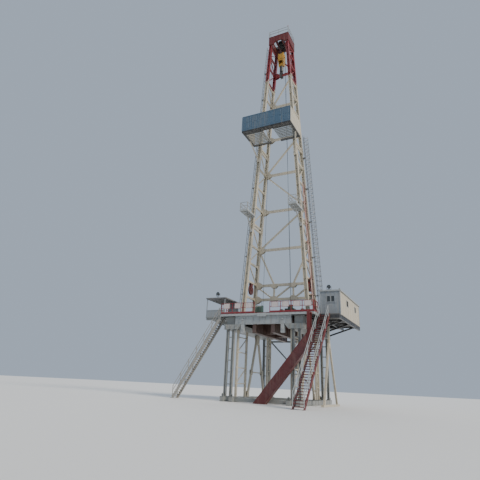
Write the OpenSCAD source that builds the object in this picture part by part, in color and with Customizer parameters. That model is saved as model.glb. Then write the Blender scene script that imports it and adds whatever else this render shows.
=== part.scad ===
// Land drilling rig with an open-fronted mast on a raised floor, as a 1:2 scale model.
// Every length is in millimetres of the model. The well's centre line is the reference while the
// rig is drawn, and place_rig() then puts the middle of the ground outline on the origin.
// X runs to the right seen from the open front of the mast, Y runs to the back and Z runs up.

/* [Mast] */
// Height of the legs, from the drill floor to the crown
mast_h = 21000; // [18000:100:23000]
// Distance between the leg centres across the mast, at the floor
mast_base_w = 4100; // [3700:50:4300]
// Distance between the leg centres across the mast, under the crown
mast_top_w = 1330; // [1250:10:1600]
// Distance between the front and the back leg centres, at the floor
mast_base_d = 1515; // [1400:5:1700]
// Distance between the front and the back leg centres, under the crown
mast_top_d = 1200; // [1150:5:1350]
// Width and depth of one leg's H section
leg_w = 200; // [160:5:240]
// Thickness of a leg's flanges
leg_flange = 20; // [12:1:30]
// Thickness of a leg's web
leg_web = 16; // [10:1:24]
// Height and depth of the beams across the back of the mast
beam_h = 150; // [110:5:180]
// Width of the long diagonals across the back of the mast
brace_w = 96; // [70:2:110]
// Width of the struts between a front and a back leg
side_strut = 110; // [80:5:140]
// Width of the diagonals between a front and a back leg
side_brace = 60; // [40:5:80]
// Height of the base truss's lower chord above the floor
truss_z = 1400; // [1250:50:1600]
// Height of the base truss between its chords
truss_h = 900; // [700:50:1100]
// Height of the bay over the base truss
base_bay_h = 2375; // [2000:25:2600]
// Height of the bay over that one
low_bay_h = 2725; // [2500:25:2900]
// Height of the third bay
mid_bay_h = 2800; // [2600:25:3000]
// Height of the topmost bay, under the crown
top_bay_h = 2100; // [1800:25:2400]

/* [Crown] */
// Height of the crown frame
crown_h = 750; // [600:10:900]
// How far the crown frame stands out past the legs' centres
crown_out = 130; // [105:5:180]
// Outer radius of the crown sheaves
crown_sheave_r = 300; // [240:5:330]
// Height of the crown's handrail
crown_rail_h = 560; // [450:10:600]
// Height of the warning lamp on its corner post
beacon_h = 90; // [60:5:120]

/* [Travelling block] */
// Number of sheaves in the block and in the crown
sheaves = 5; // [3:1:6]
// Thickness of one sheave
sheave_t = 60; // [50:2:70]
// Outer radius of the block's sheaves
block_sheave_r = 260; // [200:5:290]
// Height of the block's side plates
block_h = 1400; // [1200:20:1600]
// Width of the block's side plates
block_w = 600; // [560:10:640]
// Free height between the block's sheaves and the crown's sheaves, shaft to shaft
block_drop = 1300; // [1200:20:1500]
// Height of the hook under the block
hook_h = 1150; // [900:10:1300]
// Radius of one drilling line
line_r = 10; // [8:1:14]

/* [Drill floor] */
// Height of the floor's top above the ground
floor_z = 4500; // [4000:50:5000]
// Reach of the floor to the left of the well
floor_left = 2550; // [2450:10:2700]
// Reach of the floor to the right of the well
floor_right = 2950; // [2850:10:3100]
// Reach of the floor in front of the well
floor_front = 2600; // [2550:10:2700]
// Reach of the floor behind the well
floor_back = 3350; // [3100:10:3500]
// Thickness of the floor plate
deck_t = 30; // [20:1:40]
// Height of the beam round the floor's edge
edge_h = 125; // [100:5:150]
// Thickness of the beam round the floor's edge
edge_t = 60; // [40:5:80]
// Radius of the hole through the rotary table
rotary_r = 175; // [150:5:200]
// Side of the square rotary table
rotary_w = 900; // [800:10:1000]
// Height of the rotary table over the floor
rotary_h = 150; // [100:5:200]
// Width of the gap in the front rail that pipes come through
vdoor_w = 900; // [700:20:1100]
// Height of the guard rails
rail_h = 600; // [520:10:640]
// Width of the rails and of their posts
rail_w = 30; // [24:1:36]
// Height of the kick plate under the guard rails
kick_h = 110; // [80:5:130]
// Width of one bare board on the front rail
board_w = 400; // [340:10:420]
// Height of one bare board on the front rail
board_h = 310; // [260:10:330]

/* [Substructure] */
// Distance of the outer posts from the well, sideways
outer_post_x = 2100; // [2050:5:2150]
// Distance of the middle posts from the well, sideways
middle_post_x = 1750; // [1730:5:1800]
// Distance of the inner trestles from the well, sideways
trestle_x = 1575; // [1560:5:1600]
// Distance of the front posts' row in front of the well
front_row = 2400; // [2350:5:2420]
// Distance of the back posts' row behind the well
back_row = 2750; // [2700:5:2800]
// Width of a post
post_w = 140; // [110:5:150]
// Width of a trestle's bars
trestle_w = 110; // [80:5:120]
// Height of the base skids
skid_h = 250; // [200:10:300]
// Width of a skid's long beams
skid_w = 200; // [180:5:240]
// Height of the cap beams on the posts
cap_h = 260; // [200:10:300]
// Width of the cap beams
cap_w = 810; // [790:5:850]
// Height of the girders under the floor
girder_h = 440; // [380:10:500]
// Width of the girders' flanges
girder_w = 200; // [160:5:220]
// Depth of the beams that carry the rotary table
rotary_beam_h = 875; // [700:25:950]

/* [Monkey board] */
// Height of the board's floor above the drill floor
board_z = 12000; // [11400:50:12400]
// Width of the board
board_out_w = 3420; // [3300:20:3600]
// Depth of the board, front to back
board_d = 1950; // [1700:50:2100]
// Height of its wind walls
wind_h = 1120; // [950:10:1200]
// Width of the passage in the middle of the board
board_gap = 700; // [600:20:900]
// Number of pipe fingers on each side
fingers = 8; // [5:1:10]
// Height of the two small balconies above the drill floor
balcony_z = 6500; // [6400:50:6600]
// Width of a balcony
balcony_w = 520; // [440:10:560]
// Depth of a balcony
balcony_d = 1250; // [1000:50:1400]

/* [Ladders and pipes] */
// Width of a ladder, between its stiles
ladder_w = 210; // [180:5:240]
// Height from one rung to the next
rung_gap = 300; // [250:10:400]
// Distance of the ladders outside the leg centres
ladder_out = 250; // [230:5:290]
// Radius of the cage's hoops
hoop_r = 180; // [160:5:190]
// Number of rungs from one hoop to the next
hoop_every = 2; // [1:1:4]
// Radius of a standpipe
pipe_r = 42; // [30:1:50]
// Height of the standpipes over the floor
pipe_top = 8600; // [7000:100:9500]
// Outer radius of the raising sheaves
raising_r = 300; // [240:5:330]

/* [Cabins] */
// Length of the cabin, front to back
cabin_l = 4850; // [4400:50:4900]
// Width of the cabin
cabin_w = 1100; // [1000:10:1200]
// Height of the cabin's walls
cabin_h = 1250; // [1100:10:1300]
// Thickness of the cabin's walls
wall_t = 40; // [30:2:60]
// Distance from the floor's front edge back to the cabin
cabin_back = 1100; // [1000:20:1200]
// Height of the windows' sills above the cabin's floor
sill_h = 680; // [600:10:740]
// Height of the windows
window_h = 290; // [240:10:340]
// Height of the cabin's doorway
door_h = 1020; // [950:10:1080]
// Width of the cabin's doorway
door_w = 450; // [400:10:500]
// Length of the open shelter, front to back
shelter_l = 1800; // [1500:50:2000]
// Width of the open shelter
shelter_w = 1250; // [1050:10:1300]
// Height of the open shelter's roof
shelter_h = 1100; // [1050:10:1200]
// Distance from the floor's front edge back to the shelter
shelter_back = 900; // [800:20:1000]

/* [Stairs and slide] */
// Slope of the left stair, in degrees
left_slope = 57.5; // [50:0.5:60]
// Slope of the right stair, in degrees
right_slope = 45.5; // [42:0.5:50]
// Width of the stairs
stair_w = 520; // [460:10:560]
// Greatest height of one step
step_h = 116; // [100:1:130]
// Depth of a stair's side beams
stringer_h = 130; // [110:5:160]
// Thickness of a stair's side beams
stringer_t = 30; // [20:2:40]
// Depth of one tread
tread_d = 130; // [110:5:140]
// Slope of the slide in front of the floor, in degrees
slide_slope = 50; // [46:0.5:54]
// Depth of the slide's side plates
slide_h = 480; // [400:10:520]
// Width of the slide
slide_w = 330; // [280:10:360]

/* [Hidden] */

// Running clearance where slanted pieces meet, and the fineness of round pieces
fit = 0.3;
$fn = 32;

// Heights of the mast
crown_z = floor_z + mast_h;
crown_top = crown_z + crown_h;
chord_low = floor_z + truss_z;
chord_high = chord_low + truss_h;
saddle_strut_z = chord_high + 60;
// The three bays between the third one and the topmost one share what is left of the height
third_z = chord_high + base_bay_h + low_bay_h + mid_bay_h;
high_bay_h = (crown_z - top_bay_h - third_z) / 3;
node_z = [
    chord_high + base_bay_h,
    chord_high + base_bay_h + low_bay_h,
    third_z,
    third_z + high_bay_h,
    third_z + 2 * high_bay_h,
    third_z + 3 * high_bay_h
];
joint_z = [for (i = [0, 2, 4]) (node_z[i] + node_z[i + 1]) / 2];
// Distance of the doubled struts above and below a joint in the legs
joint_half = 110;
foot_t = 40;
leg_foot_z = floor_z + foot_t / 2;

// Places of the mast's leg centres at height z, on the left (-1) or right (1), front (-1) or back (1)
function leg_x(z) = (mast_base_w + (mast_top_w - mast_base_w) * (z - floor_z) / mast_h) / 2;
function leg_y(z) = (mast_base_d + (mast_top_d - mast_base_d) * (z - floor_z) / mast_h) / 2;
function leg_at(side, face, z) = [side * leg_x(z), face * leg_y(z), z];

// Levels under the drill floor
deck_z = floor_z - edge_h;
girder_z = deck_z - girder_h;
cap_z = girder_z - cap_h;
cap_out = outer_post_x + post_w / 2 + 130;
cap_in = cap_out - cap_w;
haunch = 200;
trestle_y = 450;
trestle_half = 1200;
skid_front = -front_row - 350;
skid_back = back_row + 350;
girder_front = -floor_front + 100;
girder_back = back_row + 100;
side_girder_in = middle_post_x + post_w / 2 - 50;
side_girder_out = cap_out - 50;
front_girder_half = cap_in + 160;
rotary_beam_x = 550;
rotary_beam_w = 200;

// Cabin and shelter
cabin_x = floor_right;
cabin_y = -floor_front + cabin_back;
cabin_end_x = cabin_x + cabin_w;
cabin_end_y = cabin_y + cabin_l;
cabin_floor_t = 50;
cabin_base_z = floor_z - cabin_floor_t;
bracket_h = 180;
roof_t = 45;
roof_out = 50;
front_window = [cabin_w * 0.35, cabin_w * 0.71];
side_windows = [[cabin_l * 0.3, 430], [cabin_l * 0.72, 370]];
cabin_door_y = 500;
glass_t = 10;
shelter_y = -floor_front + shelter_back;
shelter_end_x = -floor_left - 250 - shelter_w;
shelter_wall_h = 400;

// Stairs
left_steps = ceil(floor_z / step_h);
stair_front_y = -floor_front + 60;
left_run = floor_z / tan(left_slope);
left_top_x = -floor_left;
right_run = floor_z / tan(right_slope);
right_top_y = cabin_y - 300;
right_stair_x = floor_right + 50;

// The ground outline, and the shift that centres it
ground_left = left_top_x - left_run;
ground_right = cabin_end_x + roof_out;
ground_front = right_top_y - right_run;
ground_back = cabin_end_y + roof_out;
module place_rig() {
    translate([-(ground_left + ground_right) / 2, -(ground_front + ground_back) / 2, 0]) children();
}

// A member from a to b in a plane that holds the Y axis: its outline's X stays square to Y
module side_bar(a, b) {
    v = b - a;
    translate(a) rotate([-asin(v.y / norm(v)), atan2(v.x, v.z), 0])
        linear_extrude(norm(v)) children();
}

// A member from a to b in a plane that holds the X axis: its outline's Y stays square to X
module face_bar(a, b) {
    v = b - a;
    translate(a) rotate([atan2(-v.y, v.z), 0, 0]) rotate([0, asin(v.x / norm(v)), 0])
        linear_extrude(norm(v)) children();
}

module box_section(w, d) square([w, d], center = true);

module h_section(w, d, flange, web) {
    for (s = [-1, 1]) translate([s * (w - flange) / 2, 0]) square([flange, d], center = true);
    square([w - flange, web], center = true);
}

// A box given by its lowest and highest corners
module block(low, high) translate(low) cube(high - low);

// The same piece on the left and on the right of the well
module both_sides() {
    children();
    mirror([1, 0, 0]) children();
}

// Posts with two rails along a straight edge, as one flat panel
module guard_panel(from, to, posts, height = rail_h) {
    v = to - from;
    l = norm(v);
    translate(from) rotate([0, 0, atan2(v.y, v.x)]) {
        for (i = [0:posts - 1])
            translate([rail_w / 2 + i * (l - rail_w) / (posts - 1), 0, height / 2])
                cube([rail_w, rail_w, height], center = true);
        for (z = [height - rail_w * 0.4, height * 0.55])
            translate([l / 2, 0, z]) cube([l, rail_w, rail_w * 0.8], center = true);
    }
}

// The same panel with a kick plate along the floor
module guard_rail(from, to, posts) {
    v = to - from;
    guard_panel(from, to, posts);
    translate(from) rotate([0, 0, atan2(v.y, v.x)])
        translate([0, -rail_w / 4, 0]) cube([norm(v), rail_w / 2, kick_h]);
}

// Substructure

module base_skids() color("silver") place_rig() both_sides() {
    for (x = [outer_post_x, trestle_x]) block(
        [x - skid_w / 2, skid_front, 0],
        [x + skid_w / 2, skid_back, skid_h]
    );
    for (y = [-front_row, -1050, trestle_y, 1900, back_row]) block(
        [trestle_x, y - post_w / 2, 20],
        [outer_post_x, y + post_w / 2, skid_h]
    );
    for (y = [-front_row, back_row]) block(
        [0, y - post_w / 2, 30],
        [trestle_x - skid_w / 2 - fit, y + post_w / 2, skid_h - 30]
    );
}

// Two posts tied by short bars, as a ladder-like column
post_flange = 14;
post_web = 12;
post_tie_w = 60;
post_tie_h = 50;
post_tie_gap = 600;
module post_pair(y) {
    for (x = [middle_post_x, outer_post_x]) translate([x, y, skid_h])
        linear_extrude(cap_z - skid_h) h_section(post_w, post_w, post_flange, post_web);
    ties = floor((cap_z - skid_h) / post_tie_gap - 0.2);
    for (i = [1:ties]) block(
        [middle_post_x, y - post_tie_w / 2, skid_h + i * post_tie_gap - post_tie_h / 2],
        [outer_post_x, y + post_tie_w / 2, skid_h + i * post_tie_gap + post_tie_h / 2]
    );
}

module support_posts() color("lightgray") place_rig() both_sides() {
    post_pair(-front_row);
    post_pair(back_row);
}

// An inverted V with a pair of upright columns before it and behind it, each pair tied by bars
column_gap = 90;
column_pairs = [
    [-front_row + post_w + column_gap, trestle_y - trestle_half - 300],
    [back_row - post_w - column_gap, trestle_y + trestle_half + 400]
];
tie_w = 50;
tie_brace_w = 40;
tie_gap = 800;
v_tie_z = 1550;
v_tie_half = trestle_half * (cap_z - v_tie_z) / (cap_z - skid_h);
function tie_z(i) = skid_h + tie_gap * (i + 0.8125);
module trestle() {
    intersection() {
        union() {
            for (s = [-1, 1]) side_bar(
                [trestle_x, trestle_y + s * trestle_half, skid_h - trestle_w],
                [trestle_x, trestle_y, cap_z + trestle_w / 2]
            ) box_section(trestle_w, trestle_w);
            for (pair = column_pairs) {
                for (y = pair) side_bar([trestle_x, y, skid_h], [trestle_x, y, cap_z])
                    box_section(trestle_w, trestle_w);
                for (i = [0:3]) side_bar([trestle_x, pair[0], tie_z(i)], [trestle_x, pair[1], tie_z(i)])
                    box_section(tie_w, tie_w);
                for (i = [0, 2]) side_bar([trestle_x, pair[0], tie_z(i)], [trestle_x, pair[1], tie_z(i + 1)])
                    box_section(tie_brace_w, tie_brace_w);
            }
            side_bar([trestle_x, trestle_y - v_tie_half, v_tie_z], [trestle_x, trestle_y + v_tie_half, v_tie_z])
                box_section(tie_w, tie_w + 10);
        }
        block(
            [trestle_x - trestle_w / 2, -front_row, skid_h],
            [trestle_x + trestle_w / 2, back_row, cap_z]
        );
    }
}

module trestles() color("beige") place_rig() both_sides() trestle();

// Crossed bars between the two rear posts' columns, and a tie under the girders
rear_brace_w = 80;
rear_brace_d = 55;
rear_tie_d = 70;
rear_tie_h = 100;
module rear_bracing() color("lightgray") place_rig() intersection() {
    union() {
        for (s = [-1, 1]) face_bar(
            [s * middle_post_x, back_row, skid_h],
            [-s * middle_post_x, back_row, cap_z]
        ) box_section(rear_brace_w, rear_brace_d + s * 5);
        block(
            [-middle_post_x, back_row - rear_tie_d / 2, cap_z - rear_brace_w - rear_tie_h],
            [middle_post_x, back_row + rear_tie_d / 2, cap_z - rear_brace_w]
        );
    }
    block(
        [-middle_post_x + post_w / 2 + fit, back_row - rear_tie_d, skid_h + fit],
        [middle_post_x - post_w / 2 - fit, back_row + rear_tie_d, cap_z - fit]
    );
}

module cap_girders() color("lightgray") place_rig() both_sides() {
    translate([0, girder_back, 0]) rotate([90, 0, 0]) linear_extrude(girder_back - girder_front)
        polygon([
            [cap_in, cap_z], [cap_out, cap_z], [cap_out, girder_z],
            [cap_in - haunch, girder_z], [cap_in - haunch, girder_z - 40]
        ]);
    block([side_girder_in, girder_front + girder_w, girder_z - 1], [side_girder_out, girder_back, deck_z]);
}

// A girder with flanges, web and stiffeners, from -half to half across the rig
girder_flange = 25;
girder_web = 20;
girder_rib = 16;
hanger_drop = 200;
module cross_girder(y, half, web_side) {
    for (z = [girder_z, deck_z - girder_flange])
        block([-half, y, z], [half, y + girder_w, z + girder_flange]);
    web_y = web_side < 0 ? y + girder_web : y + girder_w - 2 * girder_web;
    block([-half, web_y, girder_z], [half, web_y + girder_web, deck_z]);
    for (i = [-2:2]) translate([i * (half - girder_rib / 2) / 2, 0, 0]) block(
        [-girder_rib / 2, y + 6, girder_z],
        [girder_rib / 2, y + girder_w - 6, deck_z]
    );
}

// Girders across the front and the back, the front one with short posts hanging at its ends
module cross_girders() color("gainsboro") place_rig() {
    cross_girder(girder_front, front_girder_half, -1);
    cross_girder(girder_back - girder_w, front_girder_half, 1);
    both_sides() block(
        [cap_in - haunch - 20 - girder_w, girder_front, cap_z - hanger_drop],
        [cap_in - haunch - 20, girder_front + girder_w, girder_z + 1]
    );
}

// Deep beams along the rig under the rotary table, with the floor's cross beams on each side
cross_beam_ys = [-900, 700];
cross_beam_w = 200;
joist_gap = 850;
joist_w = 120;
joist_h = 220;
module rotary_beams() color("dimgray") place_rig() {
    low = deck_z - rotary_beam_h;
    both_sides() block(
        [rotary_beam_x - rotary_beam_w / 2, girder_front + girder_w, low],
        [rotary_beam_x + rotary_beam_w / 2, girder_back - girder_w, deck_z]
    );
    for (y = cross_beam_ys) block(
        [-rotary_beam_x, y, low + cross_beam_w / 2],
        [rotary_beam_x, y + cross_beam_w, deck_z - cross_beam_w / 4]
    );
    for (i = [-2:2]) both_sides() block(
        [rotary_beam_x, i * joist_gap - joist_w / 2, deck_z - joist_h],
        [side_girder_in, i * joist_gap + joist_w / 2, deck_z]
    );
}

// Drill floor

module drill_floor() color("dimgray") place_rig() difference() {
    union() {
        block(
            [-floor_left + edge_t, -floor_front + edge_t, floor_z - deck_t],
            [floor_right - edge_t, floor_back - edge_t, floor_z]
        );
        for (i = [0:6]) {
            y = -floor_front + edge_t + 200 + i * (floor_front + floor_back - 2 * edge_t - 400) / 6;
            block([-floor_left + edge_t, y - 20, deck_z], [floor_right - edge_t, y + 20, floor_z - 1]);
        }
    }
    translate([0, 0, deck_z - 1]) cylinder(r = rotary_r + 120, h = edge_h + 2);
}

module floor_edge() color("gainsboro") place_rig() {
    block([-floor_left, -floor_front, deck_z], [floor_right, -floor_front + edge_t, floor_z]);
    block([-floor_left, floor_back - edge_t, deck_z], [floor_right, floor_back, floor_z]);
    for (x = [-floor_left, floor_right - edge_t]) block(
        [x, -floor_front + edge_t + fit, deck_z],
        [x + edge_t, floor_back - edge_t - fit, floor_z]
    );
    block([-260, -floor_front - 30, deck_z - 60], [260, -floor_front + 1, floor_z]);
}

module rotary_table() color("slategray") place_rig() difference() {
    translate([0, 0, floor_z]) {
        translate([-rotary_w / 2, -rotary_w / 2, 0]) cube([rotary_w, rotary_w, rotary_h * 0.7]);
        cylinder(r = rotary_w * 0.42, h = rotary_h);
    }
    translate([0, 0, floor_z - 1]) cylinder(r = rotary_r, h = rotary_h + 2);
}

rail_in = rail_w;
front_rail_y = -floor_front + rail_in;

module front_rails() color("firebrick") place_rig() translate([0, 0, floor_z]) {
    guard_rail([-floor_left + rail_in, front_rail_y, 0], [-vdoor_w / 2, front_rail_y, 0], 4);
    guard_rail([vdoor_w / 2, front_rail_y, 0], [floor_right - rail_in, front_rail_y, 0], 5);
    guard_rail(
        [floor_right - rail_in, front_rail_y + rail_in, 0],
        [floor_right - rail_in, right_top_y - 40, 0], 3
    );
}

// Bare boards hung on the front rails
module rail_boards() color("white") place_rig() {
    left_l = floor_left - vdoor_w / 2 - rail_in;
    right_l = floor_right - vdoor_w / 2 - rail_in;
    y = front_rail_y - rail_w / 2 - 8 - fit;
    for (i = [0:2]) block(
        [-floor_left + rail_in + left_l * (i + 0.5) / 3 - board_w / 2, y, floor_z + rail_h - board_h],
        [-floor_left + rail_in + left_l * (i + 0.5) / 3 + board_w / 2, y + 8, floor_z + rail_h]
    );
    for (i = [0:3]) block(
        [vdoor_w / 2 + right_l * (i + 0.5) / 4 - board_w / 2, y, floor_z + rail_h - board_h],
        [vdoor_w / 2 + right_l * (i + 0.5) / 4 + board_w / 2, y + 8, floor_z + rail_h]
    );
}

module rear_rails() color("firebrick") place_rig() translate([0, 0, floor_z]) {
    x = -floor_left + rail_in;
    y = floor_back - rail_in;
    guard_rail([x, shelter_y + shelter_l + 40, 0], [x, y - rail_in, 0], 6);
    guard_rail([x - rail_w / 2, y, 0], [cabin_x - rail_in, y, 0], 9);
    guard_rail([x, stair_front_y + stair_w + 40, 0], [x, shelter_y - 40, 0], 2);
}

// Hoisting winch behind the mast: skid, side housings, rope drum with its flanges, and finned motors
drum_y = 2450;
drum_z = 620;
drum_r = 210;
drum_l = 1300;
drum_flange_r = 380;
drum_flange_x = 560;
drum_flange_t = 60;
works_half = 1450;
works_half_d = 520;
works_skid_h = 90;
housing_x = 720;
housing_w = 180;
housing_half = 500;
housing_h = 1050;
housing_eaves = 700;
motor_x = 1130;
motor_z = 480;
motor_r = 300;
motor_l = 660;
motor_fin = 14;
motor_fins = 9;
motor_stand = 250;
module drawworks() color("brown") place_rig() translate([0, drum_y, floor_z]) {
    block([-works_half, -works_half_d, 0], [works_half, works_half_d, works_skid_h]);
    translate([0, 0, drum_z]) rotate([0, 90, 0]) cylinder(r = drum_r, h = drum_l, center = true);
    for (s = [-1, 1]) {
        translate([s * housing_x - housing_w / 2, 0, 0]) rotate([90, 0, 90]) linear_extrude(housing_w)
            polygon([
                [-housing_half, works_skid_h - 10], [housing_half, works_skid_h - 10],
                [housing_half, housing_eaves], [housing_half / 2, housing_h],
                [-housing_half / 2, housing_h], [-housing_half, housing_eaves]
            ]);
        translate([s * drum_flange_x, 0, drum_z]) rotate([0, 90, 0])
            cylinder(r = drum_flange_r, h = drum_flange_t, center = true);
        translate([s * motor_x, 0, motor_z]) rotate([0, 90, 0]) {
            cylinder(r = motor_r, h = motor_l, center = true);
            for (i = [0:motor_fins - 1])
                translate([0, 0, (i - (motor_fins - 1) / 2) * motor_l / (motor_fins + 1)])
                    cylinder(r = motor_r + motor_fin, h = motor_fin, center = true);
        }
        translate([s * motor_x, 0, 0]) block(
            [-motor_stand, -motor_stand, works_skid_h - 10],
            [motor_stand, motor_stand, motor_z - motor_r * 0.6]
        );
    }
}

// Driller's console with a sloping face, and a small upright winch on its stand
console_x = -900;
console_y = -1500;
console_w = 400;
console_d = 300;
console_h = 500;
console_top = 640;
winch_x = 870;
winch_w = 550;
winch_d = 360;
winch_h = 420;
winch_r = 140;
module driller_console() color("darkslategray") place_rig() translate([0, console_y, floor_z]) {
    translate([console_x, 0, 0]) rotate([90, 0, 90]) linear_extrude(console_w) polygon([
        [0, 0], [console_d, 0], [console_d, console_top], [console_d * 0.4, console_top], [0, console_h]
    ]);
    translate([winch_x, console_d * 0.4, 0]) {
        cube([winch_w, winch_d, winch_h]);
        translate([winch_w / 2, winch_d / 2, winch_h - 20]) cylinder(r = winch_r, h = winch_r * 1.5);
    }
}

// Open shelter on the left

// Platform with two beams, and a brace from each beam down to the cap beam's side
shelter_deck_t = 40;
shelter_beam_w = 100;
shelter_beam_in = 60;
shelter_brace_w = 80;
shelter_brace_x = 400;
module shelter_platform() color("dimgray") place_rig() {
    under = floor_z - shelter_deck_t;
    block([shelter_end_x, shelter_y, under], [-floor_left, shelter_y + shelter_l, floor_z]);
    for (y = [shelter_y + shelter_beam_in, shelter_y + shelter_l - shelter_beam_in - shelter_beam_w]) {
        mid = y + shelter_beam_w / 2;
        block([shelter_end_x, y, deck_z - 30], [-floor_left, y + shelter_beam_w, under + 1]);
        intersection() {
            face_bar([shelter_end_x + shelter_brace_x, mid, deck_z], [-cap_out + 150, mid, cap_z + 110])
                box_section(shelter_brace_w, shelter_brace_w);
            block([shelter_end_x, y, cap_z - 200], [-cap_out - fit, y + shelter_beam_w, deck_z]);
        }
    }
}

// Corner posts with low panels between them, and a full panel over half of the back
module shelter_walls() color("slategray") place_rig() translate([0, 0, floor_z]) {
    post = 40;
    x0 = shelter_end_x;
    x1 = shelter_end_x + shelter_w - post;
    y0 = shelter_y;
    y1 = shelter_y + shelter_l - post;
    low = post + fit;
    for (x = [x0, x1], y = [y0, y1]) block([x, y, 0], [x + post, y + post, shelter_h]);
    block([x0 + low, y0, 0], [x1 - fit, y0 + 20, shelter_wall_h]);
    block([x0, y0 + low, 0], [x0 + 20, y1 - fit, shelter_wall_h]);
    block([x0 + low, y1 + 20, 0], [x0 + shelter_w * 0.45, y1 + post, shelter_wall_h]);
    block([x0 + shelter_w * 0.45 + fit, y1 + 20, 0], [x1 - fit, y1 + post, shelter_h]);
}

shelter_roof_t = 60;
shelter_roof_out = 40;
module shelter_roof() color("darkslategray") place_rig() translate([0, 0, floor_z + shelter_h]) block(
    [shelter_end_x - shelter_roof_out, shelter_y - shelter_roof_out, 0],
    [
        shelter_end_x + shelter_w + shelter_roof_out,
        shelter_y + shelter_l + shelter_roof_out,
        shelter_roof_t
    ]
);

// Cabin on the right

// Two long beams with cross beams that reach under the floor, each with a brace to the cap beam
bracket_beam_w = 100;
bracket_step = 1400;
bracket_first = 900;
bracket_brace_w = 80;
bracket_ys = concat(
    [right_top_y + bracket_beam_w / 2],
    [for (i = [0:2]) cabin_y + bracket_first + i * bracket_step]
);
module cabin_bracket() color("darkslategray") place_rig() {
    top = cabin_base_z;
    low = top - bracket_h;
    for (x = [cabin_x, cabin_end_x - bracket_beam_w])
        block([x, right_top_y, low], [x + bracket_beam_w, cabin_end_y, top]);
    for (y = bracket_ys) {
        mid = y + bracket_beam_w / 2;
        reaches = y > cabin_y && y < girder_back - bracket_beam_w;
        block(
            [reaches ? side_girder_out : cabin_x, y, low + 20],
            [cabin_end_x - bracket_beam_w / 2, y + bracket_beam_w, min(deck_z, top)]
        );
        if (reaches) intersection() {
            face_bar([cap_out - 200, mid, cap_z + 60], [cabin_end_x - 150, mid, low + 40])
                box_section(bracket_brace_w, bracket_brace_w);
            block([cap_out + fit, y, cap_z], [cabin_end_x, y + bracket_beam_w, low + 40]);
        }
    }
}

// Trestle under the cabin's frame, on its own ground beam: two slanted legs and a post on top
support_x = cabin_x + 50;
support_y = -150;
support_half = 1300;
support_beam_h = 100;
support_beam_half = 70;
support_post_h = 1120;
module cabin_support() color("beige") place_rig() {
    top = cabin_base_z - bracket_h;
    apex = top - support_post_h;
    leg_in = 5;
    block(
        [support_x - support_beam_half, support_y - support_half - 300, 0],
        [support_x + support_beam_half, support_y + support_half + 300, support_beam_h]
    );
    intersection() {
        for (s = [-1, 1]) side_bar(
            [support_x, support_y + s * support_half, 0],
            [support_x, support_y + s * leg_in, apex + trestle_w]
        ) box_section(trestle_w - 2 * leg_in, trestle_w);
        block(
            [support_x - trestle_w, support_y - 2 * support_half, support_beam_h - leg_in],
            [support_x + trestle_w, support_y + 2 * support_half, apex + trestle_w / 2]
        );
    }
    block(
        [support_x - trestle_w / 2, support_y - trestle_w / 2, apex - trestle_w],
        [support_x + trestle_w / 2, support_y + trestle_w / 2, top]
    );
}

module cabin_floor() color("dimgray") place_rig()
    block([cabin_x, right_top_y, cabin_base_z], [cabin_end_x, cabin_end_y, floor_z]);

module cabin_window(x0, x1) block([x0, -1, sill_h], [x1, wall_t + 1, sill_h + window_h]);

module cabin_front_wall() color("lightslategray") place_rig() translate([cabin_x, cabin_y, floor_z])
    difference() {
        cube([cabin_w, wall_t, cabin_h]);
        cabin_window(front_window[0], front_window[1]);
    }

module cabin_rear_wall() color("lightslategray") place_rig()
    translate([cabin_x, cabin_end_y - wall_t, floor_z]) cube([cabin_w, wall_t, cabin_h]);

module cabin_left_wall() color("lightslategray") place_rig() translate([cabin_x, cabin_y, floor_z])
    difference() {
        translate([0, wall_t, 0]) cube([wall_t, cabin_l - 2 * wall_t, cabin_h]);
        block([-1, cabin_door_y, -1], [wall_t + 1, cabin_door_y + door_w, door_h]);
    }

module cabin_right_wall() color("ivory") place_rig()
    translate([cabin_end_x - wall_t, cabin_y, floor_z]) difference() {
        translate([0, wall_t, 0]) cube([wall_t, cabin_l - 2 * wall_t, cabin_h]);
        for (w = side_windows) block([-1, w[0], sill_h], [wall_t + 1, w[0] + w[1], sill_h + window_h]);
    }

module cabin_door() color("gray") place_rig() translate([cabin_x, cabin_y, floor_z])
    block([8, cabin_door_y + fit, 0], [wall_t - 8, cabin_door_y + door_w - fit, door_h - fit]);

module cabin_glass() color("lightblue", 0.4) place_rig() translate([cabin_x, cabin_y, floor_z]) {
    mid = wall_t / 2 - glass_t / 2;
    block([front_window[0], mid, sill_h], [front_window[1], mid + glass_t, sill_h + window_h]);
    for (w = side_windows) block(
        [cabin_w - mid - glass_t, w[0], sill_h],
        [cabin_w - mid, w[0] + w[1], sill_h + window_h]
    );
}

module cabin_roof() color("gainsboro") place_rig() translate([cabin_x, cabin_y, floor_z + cabin_h])
    block([0, -roof_out, 0], [cabin_w + roof_out, cabin_l + roof_out, roof_t]);

// Stairs and slide

// One side of a stair in the X-Z plane: a slanted beam from the floor's edge to the ground
module stringer(run, slope) rotate([90, 0, 0]) linear_extrude(stringer_t, center = true) polygon([
    [0, floor_z], [0, floor_z - stringer_h / cos(slope)],
    [-run + stringer_h / sin(slope), 0], [-run, 0]
]);

// A handrail over one side of a stair, with posts square to the ground
module stair_rail(run, slope) {
    posts = 7;
    low = run * 0.04;
    reach = run * 0.94;
    for (i = [0:posts - 1]) {
        x = -low - i * reach / (posts - 1);
        block([x - rail_w / 2, -rail_w / 2, floor_z + x * tan(slope) - 1],
            [x + rail_w / 2, rail_w / 2, floor_z + x * tan(slope) + 560]);
    }
    for (h = [300, 550]) face_bar(
        [-low - reach - rail_w / 2, 0, floor_z - (low + reach + rail_w / 2) * tan(slope) + h],
        [-low + rail_w / 2, 0, floor_z - (low - rail_w / 2) * tan(slope) + h]
    ) box_section(rail_w * 0.8, rail_w * 0.8);
}

module stair_at(left) {
    if (left) translate([left_top_x, stair_front_y + stair_w / 2, 0]) children();
    else translate([right_stair_x + stair_w / 2, right_top_y, 0]) rotate([0, 0, 90]) children();
}

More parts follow.
